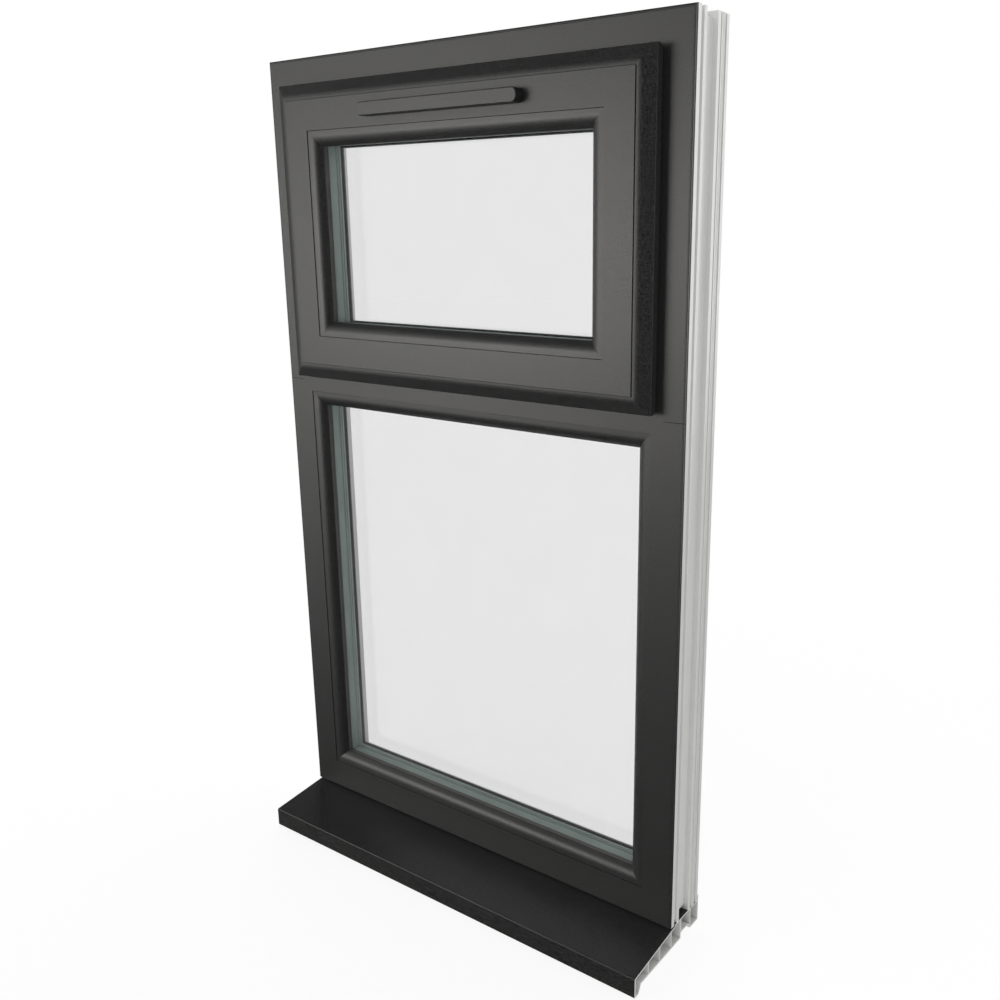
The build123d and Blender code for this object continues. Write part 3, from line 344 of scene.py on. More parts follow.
@dataclass
class Section:
    """Closed section in (u, y): points, how far each corner is eased, and which finish follows it."""

    points: list[Pair] = field(default_factory=list)
    ease: list[float] = field(default_factory=list)
    paint: list[int] = field(default_factory=list)
    holes: list[Loop] = field(default_factory=list)

    def add(self, u: float, y: float, ease: float, paint: int = FOILED) -> "Section":
        """Append one corner.

        Args:
            u: Distance from the outer edge of the bar.
            y: Depth.
            ease: How far the corner is eased.
            paint: Finish of the side after it.

        Returns:
            The section.
        """
        self.points.append((float(u), float(y)))
        self.ease.append(ease)
        self.paint.append(paint)
        return self

    def path(self, paint: int, *corners: Triple) -> "Section":
        """Append corners in one finish.

        Args:
            paint: Finish of the sides after the corners.
            corners: Corners as (u, y, ease).

        Returns:
            The section.
        """
        for corner in corners:
            self.add(*corner, paint)
        return self

    def groove(self, u: float, deep: float, start: float, end: float, eases: Triple) -> "Section":
        """Append a square groove in the plain finish.

        Args:
            u: Side that the groove lies in.
            deep: How far its floor lies from that side.
            start: Depth where it begins.
            end: Depth where it ends.
            eases: How far its corners are eased at the start, on the floor and at the end.

        Returns:
            The section.
        """
        first, floor, last = eases
        return self.path(
            PLAIN, (u, start, first), (u + deep, start, floor), (u + deep, end, floor), (u, end, last))

    def curve(self, points: Sequence[Sequence[float]], paint: int = FOILED) -> "Section":
        """Append points that aren't eased, as those of a smooth curve, and return the section."""
        return self.path(paint, *((u, y, 0.0) for u, y in points))

    def hole(self, *corners: Pair) -> "Section":
        """Add a chamber and return the section."""
        self.holes.append(np.array(corners, float))
        return self

    def boxes(self, chambers: Sequence[Chamber]) -> "Section":
        """Add rectangular chambers.

        Args:
            chambers: Chambers as (u0, u1, y0, y1).

        Returns:
            The section.
        """
        for u0, u1, y0, y1 in chambers:
            self.hole((u0, y0), (u1, y0), (u1, y1), (u0, y1))
        return self

    def eased(self, steps: int = 4) -> tuple[Loop, np.ndarray]:
        """Outer loop with every corner rounded.

        Each corner B becomes the curve (1-t)^2 A + 2 t (1-t) B + t^2 C, where A and C lie on the two
        sides at the ease distance, or at EASE_SHARE of a side if that is shorter.

        Args:
            steps: Points per corner.

        Returns:
            Points of the loop and the finish of the segment after each.
        """
        corner = np.array(self.points)
        size = np.array(self.ease)[:, None]
        before = np.roll(corner, 1, axis=0) - corner
        after = np.roll(corner, -1, axis=0) - corner
        length_before = np.linalg.norm(before, axis=1, keepdims=True)
        length_after = np.linalg.norm(after, axis=1, keepdims=True)
        start = corner + before / length_before * np.minimum(size, EASE_SHARE * length_before)
        end = corner + after / length_after * np.minimum(size, EASE_SHARE * length_after)
        t = np.linspace(0.0, 1.0, steps)[None, :, None]
        curve = (1 - t) ** 2 * start[:, None] + 2 * t * (1 - t) * corner[:, None] + t ** 2 * end[:, None]
        paint = np.repeat(np.array(self.paint)[:, None], steps, axis=1)
        flat = curve.reshape(-1, 2)
        keep = np.linalg.norm(flat - np.roll(flat, -1, axis=0), axis=1) > SAME_POINT
        return flat[keep], paint.reshape(-1)[keep]


def turned(loop: Loop, outer: bool) -> tuple[Loop, bool]:
    """Turn a loop anticlockwise for an outer edge, and clockwise for a chamber.

    Twice its area is the sum of u_i y_(i+1) - u_(i+1) y_i, and positive for an anticlockwise loop.

    Args:
        loop: Points of the loop.
        outer: Whether it is an outer edge.

    Returns:
        The loop, and whether it was reversed.
    """
    u, y = loop.T
    reverse = (np.sum(u * np.roll(y, -1) - np.roll(u, -1) * y) > 0) != outer
    return (loop[::-1].copy(), True) if reverse else (loop, False)


@dataclass(frozen=True)
class Placement:
    """Where a bar lies: its corner, the way to the glass, and the way along it, in millimetres."""

    corner: Triple
    inward: Triple
    along: Triple

    def world(self, u: np.ndarray, y: np.ndarray, t: np.ndarray) -> np.ndarray:
        """Points in metres: corner + u inward + y inside + t along.

        Args:
            u: Distances from the outer edge of the bar.
            y: Depths.
            t: Distances along the bar.

        Returns:
            Array of points.
        """
        spot = np.array(self.corner) + u[:, None] * np.array(self.inward) + t[:, None] * np.array(self.along)
        spot[:, 1] += y
        return spot * MM


@dataclass
class Build:
    """Vertices, faces and finishes of one piece while it is put together."""

    verts: list[np.ndarray] = field(default_factory=list)
    faces: list[np.ndarray] = field(default_factory=list)
    paints: list[np.ndarray] = field(default_factory=list)
    count: int = 0

    def add(self, verts: np.ndarray, *blocks: tuple[np.ndarray, np.ndarray | int]) -> None:
        """Append vertices and the faces between them.

        Args:
            verts: Array of points.
            blocks: Quads or triangles as point numbers, with one finish or one for each.
        """
        self.verts.append(verts)
        for faces, paint in blocks:
            self.faces.append(faces + self.count)
            self.paints.append(np.broadcast_to(paint, len(faces)))
        self.count += len(verts)

    def mesh(self, name: str) -> bpy.types.Mesh:
        """Write everything into a new mesh.

        Args:
            name: Name of the mesh.

        Returns:
            The mesh.
        """
        data = bpy.data.meshes.new(name)
        sizes = np.concatenate([np.full(len(block), block.shape[1]) for block in self.faces])
        corners = np.concatenate([block.reshape(-1) for block in self.faces])
        data.vertices.add(self.count)
        data.vertices.foreach_set("co", np.concatenate(self.verts).astype(np.float32).reshape(-1))
        data.loops.add(len(corners))
        data.loops.foreach_set("vertex_index", corners.astype(np.int32))
        data.polygons.add(len(sizes))
        data.polygons.foreach_set("loop_start", (np.cumsum(sizes) - sizes).astype(np.int32))
        data.polygons.foreach_set("material_index", np.concatenate(self.paints).astype(np.int32))
        data.update(calc_edges=True)
        data.validate()
        return data


def sides(loops: Sequence[Loop]) -> np.ndarray:
    """Sides of loops that lie one after the other, as pairs of point numbers.

    Args:
        loops: Outer loop and chambers.

    Returns:
        Array of pairs.
    """
    first = np.cumsum([0] + [len(loop) for loop in loops])
    index = [start + np.arange(len(loop)) for start, loop in zip(first, loops)]
    return np.concatenate([np.column_stack([row, np.roll(row, -1)]) for row in index])


def bands(rings: int, count: int) -> np.ndarray:
    """Quads between rings: each joins points i and i + 1 of a ring to the same points of the next.

    Args:
        rings: Number of rings.
        count: Points in each ring.

    Returns:
        Quads as point numbers.
    """
    layer, index = np.meshgrid(np.arange(rings - 1), np.arange(count), indexing="ij")
    here, there = layer * count + index, layer * count + (index + 1) % count
    return np.stack([here, here + count, there + count, there], axis=-1).reshape(-1, 4)


def split_at(loop: Loop, paint: np.ndarray, level: float) -> tuple[Loop, np.ndarray]:
    """Add a corner wherever a loop crosses u = level.

    On a side from A to B the new corner is A + t (B - A), with t = (level - A_u) / (B_u - A_u).

    Args:
        loop: Points of the loop.
        paint: Finish of the side after each point.
        level: Where the ends of the bar turn.

    Returns:
        The longer loop and its finishes.
    """
    way = np.roll(loop, -1, axis=0) - loop
    crosses = (loop[:, 0] - level) * (loop[:, 0] + way[:, 0] - level) < 0
    t = (level - loop[crosses, 0]) / way[crosses, 0]
    extra = loop[crosses] + t[:, None] * way[crosses]
    index = np.flatnonzero(crosses) + 1
    return np.insert(loop, index, extra, axis=0), np.insert(paint, index, paint[crosses])


def new_object(name: str, data: bpy.types.ID) -> bpy.types.Object:
    """New object in the scene.

    Args:
        name: Name of the object.
        data: Its mesh, light or camera.

    Returns:
        The object.
    """
    piece = bpy.data.objects.new(name, data)
    bpy.context.scene.collection.objects.link(piece)
    return piece


def anticlockwise(flat: Loop, faces: np.ndarray) -> np.ndarray:
    """Triangles of flat points, reversed where (B - A) x (C - A) is negative.

    Args:
        flat: Points.
        faces: Triangles as point numbers.

    Returns:
        The triangles, all anticlockwise.
    """
    a, b, c = flat[faces.T]
    cross = (b[:, 0] - a[:, 0]) * (c[:, 1] - a[:, 1]) - (b[:, 1] - a[:, 1]) * (c[:, 0] - a[:, 0])
    return np.where(cross[:, None] < 0, faces[:, ::-1], faces)


def fill(loops: Sequence[Loop], bends: Sequence[float]) -> np.ndarray:
    """Triangles of a section with chambers, with an edge along every line u = level it bends at.

    The sides of the loops and the stretches of each line that lie in the material are kept in a
    Delaunay net. A triangle stays if a ray from its middle crosses the sides an odd number of times.

    Args:
        loops: Outer loop and chambers, one after the other.
        bends: Levels at which the cut changes direction.

    Returns:
        Triangles as numbers of the points in order, anticlockwise.
    """
    flat = np.concatenate(loops)
    rim = sides(loops)
    edges = [rim]
    for level in bends:
        line = np.flatnonzero(np.abs(flat[:, 0] - level) < ON_LEVEL)
        edges.append(line[np.argsort(flat[line, 1])].reshape(-1, 2))
    points = [Vector(point) for point in flat.tolist()]
    net = delaunay_2d_cdt(points, np.concatenate(edges).tolist(), [], 0, NET_TOLERANCE, True)
    source = np.array([found[0] for found in net[3]])
    faces = source[np.array(net[2])]
    middle = flat[faces].mean(axis=1)
    a, b = flat[rim[:, 0]], flat[rim[:, 1]]
    astride = (a[None, :, 1] > middle[:, None, 1]) != (b[None, :, 1] > middle[:, None, 1])
    rise = np.where(a[:, 1] == b[:, 1], 1.0, b[:, 1] - a[:, 1])
    cut = a[None, :, 0] + (middle[:, None, 1] - a[None, :, 1]) * ((b[:, 0] - a[:, 0]) / rise)[None, :]
    faces = faces[np.sum(astride & (middle[:, None, 0] < cut), axis=1) % 2 == 1]
    return anticlockwise(flat, faces)


def sweep(
        build: Build, section: Section, place: Placement, start: Station, end: Station,
        bends: Sequence[float] = (), cap: int = PLAIN) -> None:
    """Carry a section along a straight bar, with both ends cut by a function of (u, y).

    A point of the bar is corner + u inward + y inside + t along, with t running straight from
    start(u, y) to end(u, y). Chambers are swept the same way, turned inside out, and the two ends
    are filled round them.

    Args:
        build: Piece that gets the bar.
        section: Section of the bar.
        place: Where the bar lies.
        start: Where the bar begins at a point of its section.
        end: Where it stops.
        bends: Distances u at which the cut at an end changes direction.
        cap: Finish of the two ends.
    """
    outer, paint = section.eased()
    outer, reverse = turned(outer, True)
    if reverse:
        paint = np.roll(paint[::-1], -1)
    loops = [(outer, paint)]
    for hole in section.holes:
        loops.append((turned(hole, False)[0], np.full(len(hole), PLAIN)))
    for level in bends:
        loops = [split_at(loop, shade, level) for loop, shade in loops]
    outlines = [loop for loop, _ in loops]
    flat = np.concatenate(outlines)
    u, y = flat[:, 0], flat[:, 1]
    verts = np.concatenate([place.world(u, y, start(u, y)), place.world(u, y, end(u, y))])
    rim, caps = sides(outlines), fill(outlines, bends)
    walls = np.column_stack([rim, rim[:, ::-1] + len(flat)])
    build.add(
        verts, (walls, np.concatenate([shade for _, shade in loops])), (caps + len(flat), cap),
        (caps[:, ::-1], cap))


@dataclass(frozen=True)
class Cell:
    """Rectangle in the plane of the window, in millimetres."""

    left: float
    right: float
    low: float
    high: float

    def bars(self) -> dict[str, tuple[Placement, float]]:
        """Lay out the four bars round the rectangle.

        Returns:
            Placement and length of the bar on each side.
        """
        wide, tall = self.right - self.left, self.high - self.low
        return {
            "bottom": (Placement((self.right, 0, self.low), (0, 0, 1), (-1, 0, 0)), wide),
            "left": (Placement((self.left, 0, self.low), (1, 0, 0), (0, 0, 1)), tall),
            "top": (Placement((self.left, 0, self.high), (0, 0, -1), (1, 0, 0)), wide),
            "right": (Placement((self.right, 0, self.high), (-1, 0, 0), (0, 0, -1)), tall),
        }

    def ring(self, build: Build, loop: Loop) -> None:
        """Carry a section once round the rectangle with mitred corners.

        The point (u, y) of the section becomes a rectangle that lies u inside this one, at depth y.

        Args:
            build: Piece that gets the ring.
            loop: Points of the section.
        """
        u, y = turned(loop, True)[0].T
        x = np.stack([self.right - u, self.left + u, self.left + u, self.right - u])
        z = np.stack([self.low + u, self.low + u, self.high - u, self.high - u])
        verts = np.stack([x, np.broadcast_to(y, x.shape), z], axis=-1).reshape(-1, 3) * MM
        build.add(verts, (bands(5, len(loop))[:, [0, 3, 2, 1]] % len(verts), 0))


def pane(build: Build, cell: Cell, edge: float, y0: float, y1: float, arris: float = 0.5) -> None:
    """Glass pane with ground edges: two faces, and a band of three strips round them.

    Ring k of the four rings is the cell's rectangle moved in by inset k, at depth k.

    Args:
        build: Piece that gets the pane.
        cell: Rectangle of the light.
        edge: How far inside it the pane ends.
        y0: Depth of the outer face.
        y1: Depth of the inner face.
        arris: Width of the ground edge.
    """
    inset = np.array([edge + arris, edge, edge, edge + arris])
    depth = np.array([y0, y0 + arris, y1 - arris, y1])
    x = np.stack([cell.left + inset, cell.right - inset, cell.right - inset, cell.left + inset], axis=1)
    z = np.stack([cell.low + inset, cell.low + inset, cell.high - inset, cell.high - inset], axis=1)
    verts = np.stack([x, np.broadcast_to(depth[:, None], x.shape), z], axis=-1).reshape(-1, 3) * MM
    build.add(verts, (bands(4, 4), 0), (np.array([[0, 1, 2, 3], [15, 14, 13, 12]]), 0))


def finish_piece(build: Build, node: str, body: str, slot: Slot, smooth: float = 32.0) -> bpy.types.Object:
    """Turn a build into an object that rides on a body and stands for a CAD node.

    Args:
        build: What was put together.
        node: CAD node that the piece stands for.
        body: CAD body that carries the piece.
        slot: The record's material slot. It gives the finish, and a foiled piece gets white PVC too.
        smooth: Edges sharper than this many degrees stay sharp.

    Returns:
        The new object.
    """
    name = node + "_skin"
    data = build.mesh(name)
    for shade in (slot, Slot.WHITE) if slot is Slot.FOIL else (slot,):
        data.materials.append(FINISHES[shade].make())
    data.polygons.foreach_set("use_smooth", np.ones(len(data.polygons), bool))
    data.set_sharp_from_angle(angle=radians(smooth))
    piece = new_object(name, data)
    even = piece.modifiers.new("even_normals", "WEIGHTED_NORMAL")
    even.keep_sharp = True
    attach(piece, body)
    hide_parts(node)
    LOG.info("%s: %d faces on %s", name, len(data.polygons), body)
    return piece


def mitred_bars(cell: Cell, section: Section, nodes: dict[str, str], body: str) -> None:
    """Build four foiled bars round a cell, cut at 45 degrees: at u a bar runs from u to length - u.

    Args:
        cell: Rectangle of the light.
        section: Section of the bars.
        nodes: CAD node of each side.
        body: CAD body that carries them.
    """
    for side, (place, length) in cell.bars().items():
        build = Build()
        sweep(build, section, place, lambda u, y: u, lambda u, y: length - u)
        finish_piece(build, nodes[side], body, Slot.FOIL)


# Window


@dataclass(frozen=True)
class WindowSizes:
    """Sizes of the window in millimetres, most of them those of the CAD model.

    A groove is near y, far y and depth. The leg is the part behind the glass: leg_nose is the height of
    its rounded edge, leg_heel how far its foot stands in, and leg_hollow how deep its side is curved.
    """

    width: float = 610.0
    height: float = 1010.0
    depth: float = 68.0
    face: float = 41.0
    cill_height: float = 28.5
    transom_centre: float = 610.0
    transom_half: float = 15.0
    skin: float = 2.8
    floor_drop: float = 1.0
    nib: float = 2.5
    groove: Triple = (5.0, 9.0, 3.5)
    sight: float = 18.3
    unit_front: float = 16.5
    pane: float = 4.0
    cavity: float = 20.0
    gasket_in: float = 1.5
    leg_nose: float = 1.5
    leg_heel: float = 2.0
    leg_hollow: float = 4.0
    unit_edge: float = 5.0
    bead_back: float = 10.0
    bead_seat: float = 10.6
    sash_overlap: float = 8.0
    sash_proud: float = 23.0
    sash_back: float = 42.5
    sash_flat: float = 35.85
    sash_side: float = 20.0
    lip_thick: float = 10.0
    step: float = 1.0

    @property
    def bottom(self) -> float:
        """Height of the bottom of the frame."""
        return self.cill_height

    @property
    def top(self) -> float:
        """Height of the top of the frame."""
        return self.cill_height + self.height

    @property
    def leg(self) -> float:
        """Front of the leg behind the glass, from the face in front of it."""
        return self.unit_front + 2 * self.pane + self.cavity + self.gasket_in

    @property
    def apex(self) -> float:
        """Distance of the transom's point from the outer edge of a jamb."""
        return self.face - self.transom_half

    @property
    def centre(self) -> float:
        """Height of the middle of the transom."""
        return self.bottom + self.transom_centre


SIZES = WindowSizes()
# Corners of the chamber in the leg, from the step and from the inner side of the leg's skin
LEG_CHAMBER = np.array([(1.8, 0.0), (11.0, 0.0), (5.6, 4.0), (2.5, 9.0), (1.8, 9.0)])
BEAD_MOULD = Moulding(5.0, 10.3, 3.0, 47.0)
LIP_MOULD = Moulding(2.0, 6.0, 11.65, 27.3)
LIP_WIDTH = LIP_MOULD.flat + LIP_MOULD.bend + LIP_MOULD.run
SASH_STEP = LIP_WIDTH + SIZES.sash_flat
HALF = SIZES.width / 2
LOW_CELL = Cell(-HALF, HALF, SIZES.bottom, SIZES.centre - SIZES.transom_half + SIZES.face)
TOP_CELL = Cell(-HALF, HALF, SIZES.centre + SIZES.transom_half - SIZES.face, SIZES.top)
INSET = SIZES.face - SIZES.sash_overlap
SASH_CELL = Cell(TOP_CELL.left + INSET, TOP_CELL.right - INSET, TOP_CELL.low + INSET, TOP_CELL.high - INSET)


def arc(start: Pair, end: Pair, rise: float, steps: int = 7) -> Loop:
    """Circular arc between two points, without its ends.

    Its centre lies on the middle normal, and its points are at even angles.

    Args:
        start: First end.
        end: Last end.
        rise: How far the arc stands out to the right of the way from start to end.
        steps: Number of points.

    Returns:
        The points.
    """
    a, b = np.array(start), np.array(end)
    way = b - a
    length = np.linalg.norm(way)
    normal = np.array([way[1], -way[0]]) / length
    radius = (length ** 2 / 4 + rise ** 2) / (2 * abs(rise))
    side = np.sign(rise)
    centre = (a + b) / 2 + normal * side * (abs(rise) - radius)
    from_a = np.arctan2(*(a - centre)[::-1])
    from_b = np.arctan2(*(b - centre)[::-1])
    swing = (from_b - from_a + pi) % (2 * pi) - pi
    turn = from_a + swing * np.linspace(0.0, 1.0, steps + 2)[1:-1]
    return centre + radius * np.column_stack([np.cos(turn), np.sin(turn)])


def rebate_side(section: Section, step: float, front: float, rear: float) -> Section:
    """Glass side of a bar, from the step beside the bead round to the back face.

    Args:
        section: Section that gets the side.
        step: Distance u of the step beside the bead.
        front: Depth of the face in front of the glass.
        rear: Depth of the back face.

    Returns:
        The same section.
    """
    floor = step - SIZES.floor_drop
    near, far, deep = SIZES.groove
    leg, nib = front + SIZES.leg, front + SIZES.nib
    nose = (step + SIZES.sight, leg + SIZES.leg_nose)
    heel = (step + SIZES.leg_heel, rear - SIZES.leg_heel)
    section.add(step, front, 0.3, FOILED).path(PLAIN, (step, nib, 0.2), (floor, nib, 0.2))
    section.groove(floor, -deep, front + near, front + far, (0.2, 0.2, 0.2))
    section.path(PLAIN, (floor, leg, 0.3), (step + SIZES.sight, leg, 0.4), (*nose, 0.5))
    section.curve(arc(nose, heel, -SIZES.leg_hollow), PLAIN)
    return section.path(PLAIN, (*heel, 0.6), (heel[0], rear, 0.6))


def leg_hole(section: Section, step: float, front: float) -> Section:
    """Add the chamber in the leg behind the glass and return the section."""
    return section.hole(*(LEG_CHAMBER + (step, front + SIZES.leg + SIZES.skin)))


@dataclass
class OuterFrame:
    """Welded outer frame: head, bottom rail and two jambs notched for the transom.

    Each groove on the wall side is depth, start, end and (easing at its start, floor and end).
    """

    foil_wrap: float = 2.6
    corner_round: float = 2.2
    weld_line: float = 0.25
    weld_deep: float = 2.4
    weld_blend: float = 0.1
    quirk: Triple = (2.7, 0.5, 0.3)
    grooves: tuple[Groove, ...] = (
        (3.0, 62.5, 59.0, (0.4, 0.3, 0.4)), (0.9, 57.5, 56.5, (0.2, 0.2, 0.2)),
        (0.9, 55.0, 54.0, (0.2, 0.2, 0.2)), (2.0, 52.0, 49.5, (0.4, 0.3, 0.4)),
        (6.3, 43.7, 21.0, (0.4, 0.3, 0.9)), (3.0, 15.4, 9.6, (0.9, 0.3, 0.7)))
    chambers: tuple[Chamber, ...] = (
        (5.6, 33.8, 2.8, 12.0), (9.3, 24.5, 14.0, 49.8), (26.5, 37.2, 14.0, 49.8), (5.6, 40.2, 52.0, 65.2))

    def section(self) -> Section:
        """Section of the frame, foiled on its face and round its front corner.

        Returns:
            The section.
        """
        section = rebate_side(Section(), SIZES.face, 0.0, SIZES.depth)
        section.add(0.0, SIZES.depth, 0.8, PLAIN)
        for groove in self.grooves:
            section.groove(0.0, *groove)
        edge, (at, wide, deep) = self.corner_round, self.quirk
        section.curve([(0.0, self.foil_wrap), (0.0, edge)])
        section.curve(arc((0.0, edge), (edge, 0.0), edge * (1 - np.sqrt(0.5))))
        section.curve([(edge, 0.0), (at, 0.0), (at + wide / 2, deep), (at + wide, 0.0)])
        return leg_hole(section.boxes(self.chambers), SIZES.face, 0.0)

    def make(self) -> list[bpy.types.Object]:
        """Build the four bars.

        Returns:
            The bars.
        """
        nodes = {"bottom": "frame_bottom_rail", "top": "frame_head", "left": "frame_jamb_left",
                 "right": "frame_jamb_right"}
        bars = []
        for side, (place, length) in Cell(-HALF, HALF, SIZES.bottom, SIZES.top).bars().items():
            build = Build()
            if side in ("bottom", "top"):
                sweep(build, self.section(), place, lambda u, y: u, lambda u, y: length - u)
            else:
                joint = SIZES.transom_centre if side == "left" else length - SIZES.transom_centre
                self._jamb(build, place, length, joint)
            bars.append(finish_piece(build, nodes[side], "frame", Slot.FOIL))
        return bars

    def _jamb(self, build: Build, place: Placement, length: float, joint: float) -> None:
        """Add one jamb in two lengths that leave a V for the transom.

        At distance u from the outer edge each length stops max(u - apex, 0) short of the joint. Up to the
        V the front stops weld_line shorter, to a depth of weld_deep, and closes over weld_blend.

        Args:
            build: Piece that gets the jamb.
            place: Where the jamb lies.
            length: Its length.
            joint: How far along it the transom's middle lies.
        """
        apex, blend = SIZES.apex, self.weld_blend
        bends = (apex - blend, apex)

        def gap(u: np.ndarray, y: np.ndarray) -> np.ndarray:
            """How far a length stops short of the joint."""
            return np.maximum(u - apex, 0.0) + self.weld_line * (y < self.weld_deep) * (u < apex - blend / 2)

        bar = self.section()
        sweep(build, bar, place, lambda u, y: u, lambda u, y: joint - gap(u, y), bends, FOILED)
        sweep(build, bar, place, lambda u, y: joint + gap(u, y), lambda u, y: length - u, bends, FOILED)


@dataclass
class Transom:
    """Transom between the two lights, pointed at both ends."""

    chambers: tuple[Chamber, ...] = (
        (-7.7, 7.7, 2.8, 12.0), (-11.2, 11.2, 14.0, 46.0), (-14.2, 14.2, 48.8, 65.2))

    def section(self) -> Section:
        """Section with two rebate sides back to back.

        Returns:
            The section.
        """
        section = rebate_side(Section(), SIZES.transom_half, 0.0, SIZES.depth)
        back = zip(section.points[::-1], section.ease[::-1], section.paint[-2::-1] + [FOILED])
        for (u, y), ease, paint in back:
            section.add(-u, y, ease, paint)
        leg_hole(section.boxes(self.chambers), SIZES.transom_half, 0.0)
        return section.hole(*(section.holes[-1] * (-1.0, 1.0)))

    def make(self) -> None:
        """Build the transom; at height v from its middle it starts abs(v) after the point."""
        build = Build()
        length = SIZES.width - 2 * SIZES.apex
        place = Placement((-length / 2, 0, SIZES.centre), (0, 0, -1), (1, 0, 0))
        sweep(build, self.section(), place, lambda u, y: np.abs(u), lambda u, y: length - np.abs(u), (0.0,))
        finish_piece(build, "transom", "frame", Slot.FOIL)


@dataclass
class Cill:
    """Hollow cill with a drip nose, a channel underneath and open ends.

    Heights are from the bottom of the frame. The drip is points (height, y), the channel is its top and
    three depths, and step and upstand are a depth and a height each.
    """

    nose: float = 80.8
    nose_top: float = -13.5
    nose_skin: float = 2.4
    nose_bottom: float = -39.0
    drip: tuple[Pair, ...] = ((-39.0, -73.4), (-38.3, -71.8))
    drip_root: float = -66.6
    channel: tuple[float, ...] = (-20.4, 26.4, 42.5, 50.0)
    step: Pair = (10.2, -2.3)
    seat: float = 12.5
    upstand: Pair = (70.0, 6.5)
    webs: tuple[float, ...] = (-50.0, -24.0, 3.0)
    web_half: float = 0.8
    skin: float = 2.0

    def roof(self, y: float) -> float:
        """Height of the chambers under the skin of the sloping top."""
        fall = (self.step[0] - y) * (self.step[1] - self.nose_top) / (self.step[0] + self.nose)
        return self.step[1] - fall - self.skin

    def section(self) -> Section:
        """Section in (height above the bottom of the frame, y), foiled on the weather side.

        Returns:
            The section.
        """
        low, depth = -SIZES.cill_height, SIZES.depth
        (back, lip), nose = self.upstand, -self.nose
        top, start, bend, end = self.channel
        section = Section().path(
            FOILED, (self.nose_top, nose, 1.3), (self.nose_bottom, nose, 1.0),
            *((*spot, 0.6) for spot in self.drip))
        section.path(
            PLAIN, (low, self.drip_root, 0.8), (low, start, 0.4), (top, start, 0.4), (top, bend, 0.4),
            (low, end, 0.4), (low, back, 0.5), (lip, back, 0.7), (lip, depth, 0.5))
        section.path(FOILED, (0.0, depth, 0.3), (0.0, self.seat, 0.3), (self.step[1], self.step[0], 0.6))
        half, floor, first = self.web_half, low + self.skin, self.webs[0] - self.web_half
        inside = nose + self.nose_skin
        # Chambers in the nose, between the webs, under the seat, over the channel and in the upstand
        section.hole(
            (self.roof(inside), inside), (self.roof(self.webs[0]), first), (floor, first),
            (floor, -67.6), (-37.0, -72.6), (-37.0, inside))
        for left, right in zip(self.webs, self.webs[1:]):
            y0, y1 = left + half, right - half
            section.hole((self.roof(y0), y0), (self.roof(y1), y1), (floor, y1), (floor, y0))
        y0, y1 = self.webs[-1] + half, self.seat + 12.2
        section.hole(
            (self.roof(y0), y0), (self.step[1] - self.skin, self.step[0] + 0.4),
            (-self.skin, self.seat + 0.6), (-self.skin, y1), (floor, y1), (floor, y0))
        section.hole((-self.skin, 27.4), (-self.skin, 49.2), (-22.6, 49.2), (-18.4, 43.6), (-18.4, 27.4))
        return section.boxes([(floor, -self.skin, 50.8, back - self.skin)])

    def make(self) -> None:
        """Build the cill along the whole width."""
        build = Build()
        place = Placement((HALF, 0, SIZES.bottom), (0, 0, 1), (-1, 0, 0))
        sweep(build, self.section(), place, lambda u, y: 0 * u, lambda u, y: 0 * u + SIZES.width)
        finish_piece(build, "cill", "frame", Slot.FOIL)


@dataclass
class Beads:
    """Four mitred glazing beads of one light, with their play in the groove (clear) and beside the step."""

    prefix: str
    cell: Cell
    step: float
    front: float
    body: str
    clear: float = 0.3
    edge: float = 0.2
    ease: float = 0.25
    foot: float = 14.2
    chamber: Chamber = (1.8, 8.8, 4.6, 12.4)

    def section(self) -> Section:
        """Section of the bead: moulded face, heel on the gasket and a foot in the groove.

        Returns:
            The section.
        """
        start, end, deep = SIZES.groove
        heights = (start + self.clear, end - self.clear, SIZES.nib + self.clear)
        near, far, nib = (self.front + y for y in heights)
        floor, edge = self.step - SIZES.floor_drop + self.clear, self.step + self.edge
        back, foot, seat = self.front + SIZES.bead_back, self.front + self.foot, self.step + SIZES.bead_seat
        scale = (SIZES.sight - self.edge) / SIZES.sight
        mould = BEAD_MOULD.points() * (scale, 1.0) + (edge, self.front + SIZES.step)
        section = Section().add(*mould[0], 0.4).curve(mould[1:-1])
        ease = self.ease
        section.path(FOILED, (*mould[-1], 0.5), (mould[-1][0], back, ease))
        section.path(PLAIN, (seat, back, ease), (seat, foot, ease), (floor, foot, ease))
        section.groove(floor, -deep, far, near, (ease, ease, ease))
        section.add(floor, nib, ease, PLAIN).add(edge, nib, ease)
        u0, u1, y0, y1 = self.chamber
        return section.boxes([(self.step + u0, self.step + u1, self.front + y0, self.front + y1)])

    def make(self) -> None:
        """Build the four beads."""
        nodes = {side: f"{self.prefix}_bead_{side}" for side in self.cell.bars()}
        mitred_bars(self.cell, self.section(), nodes, self.body)


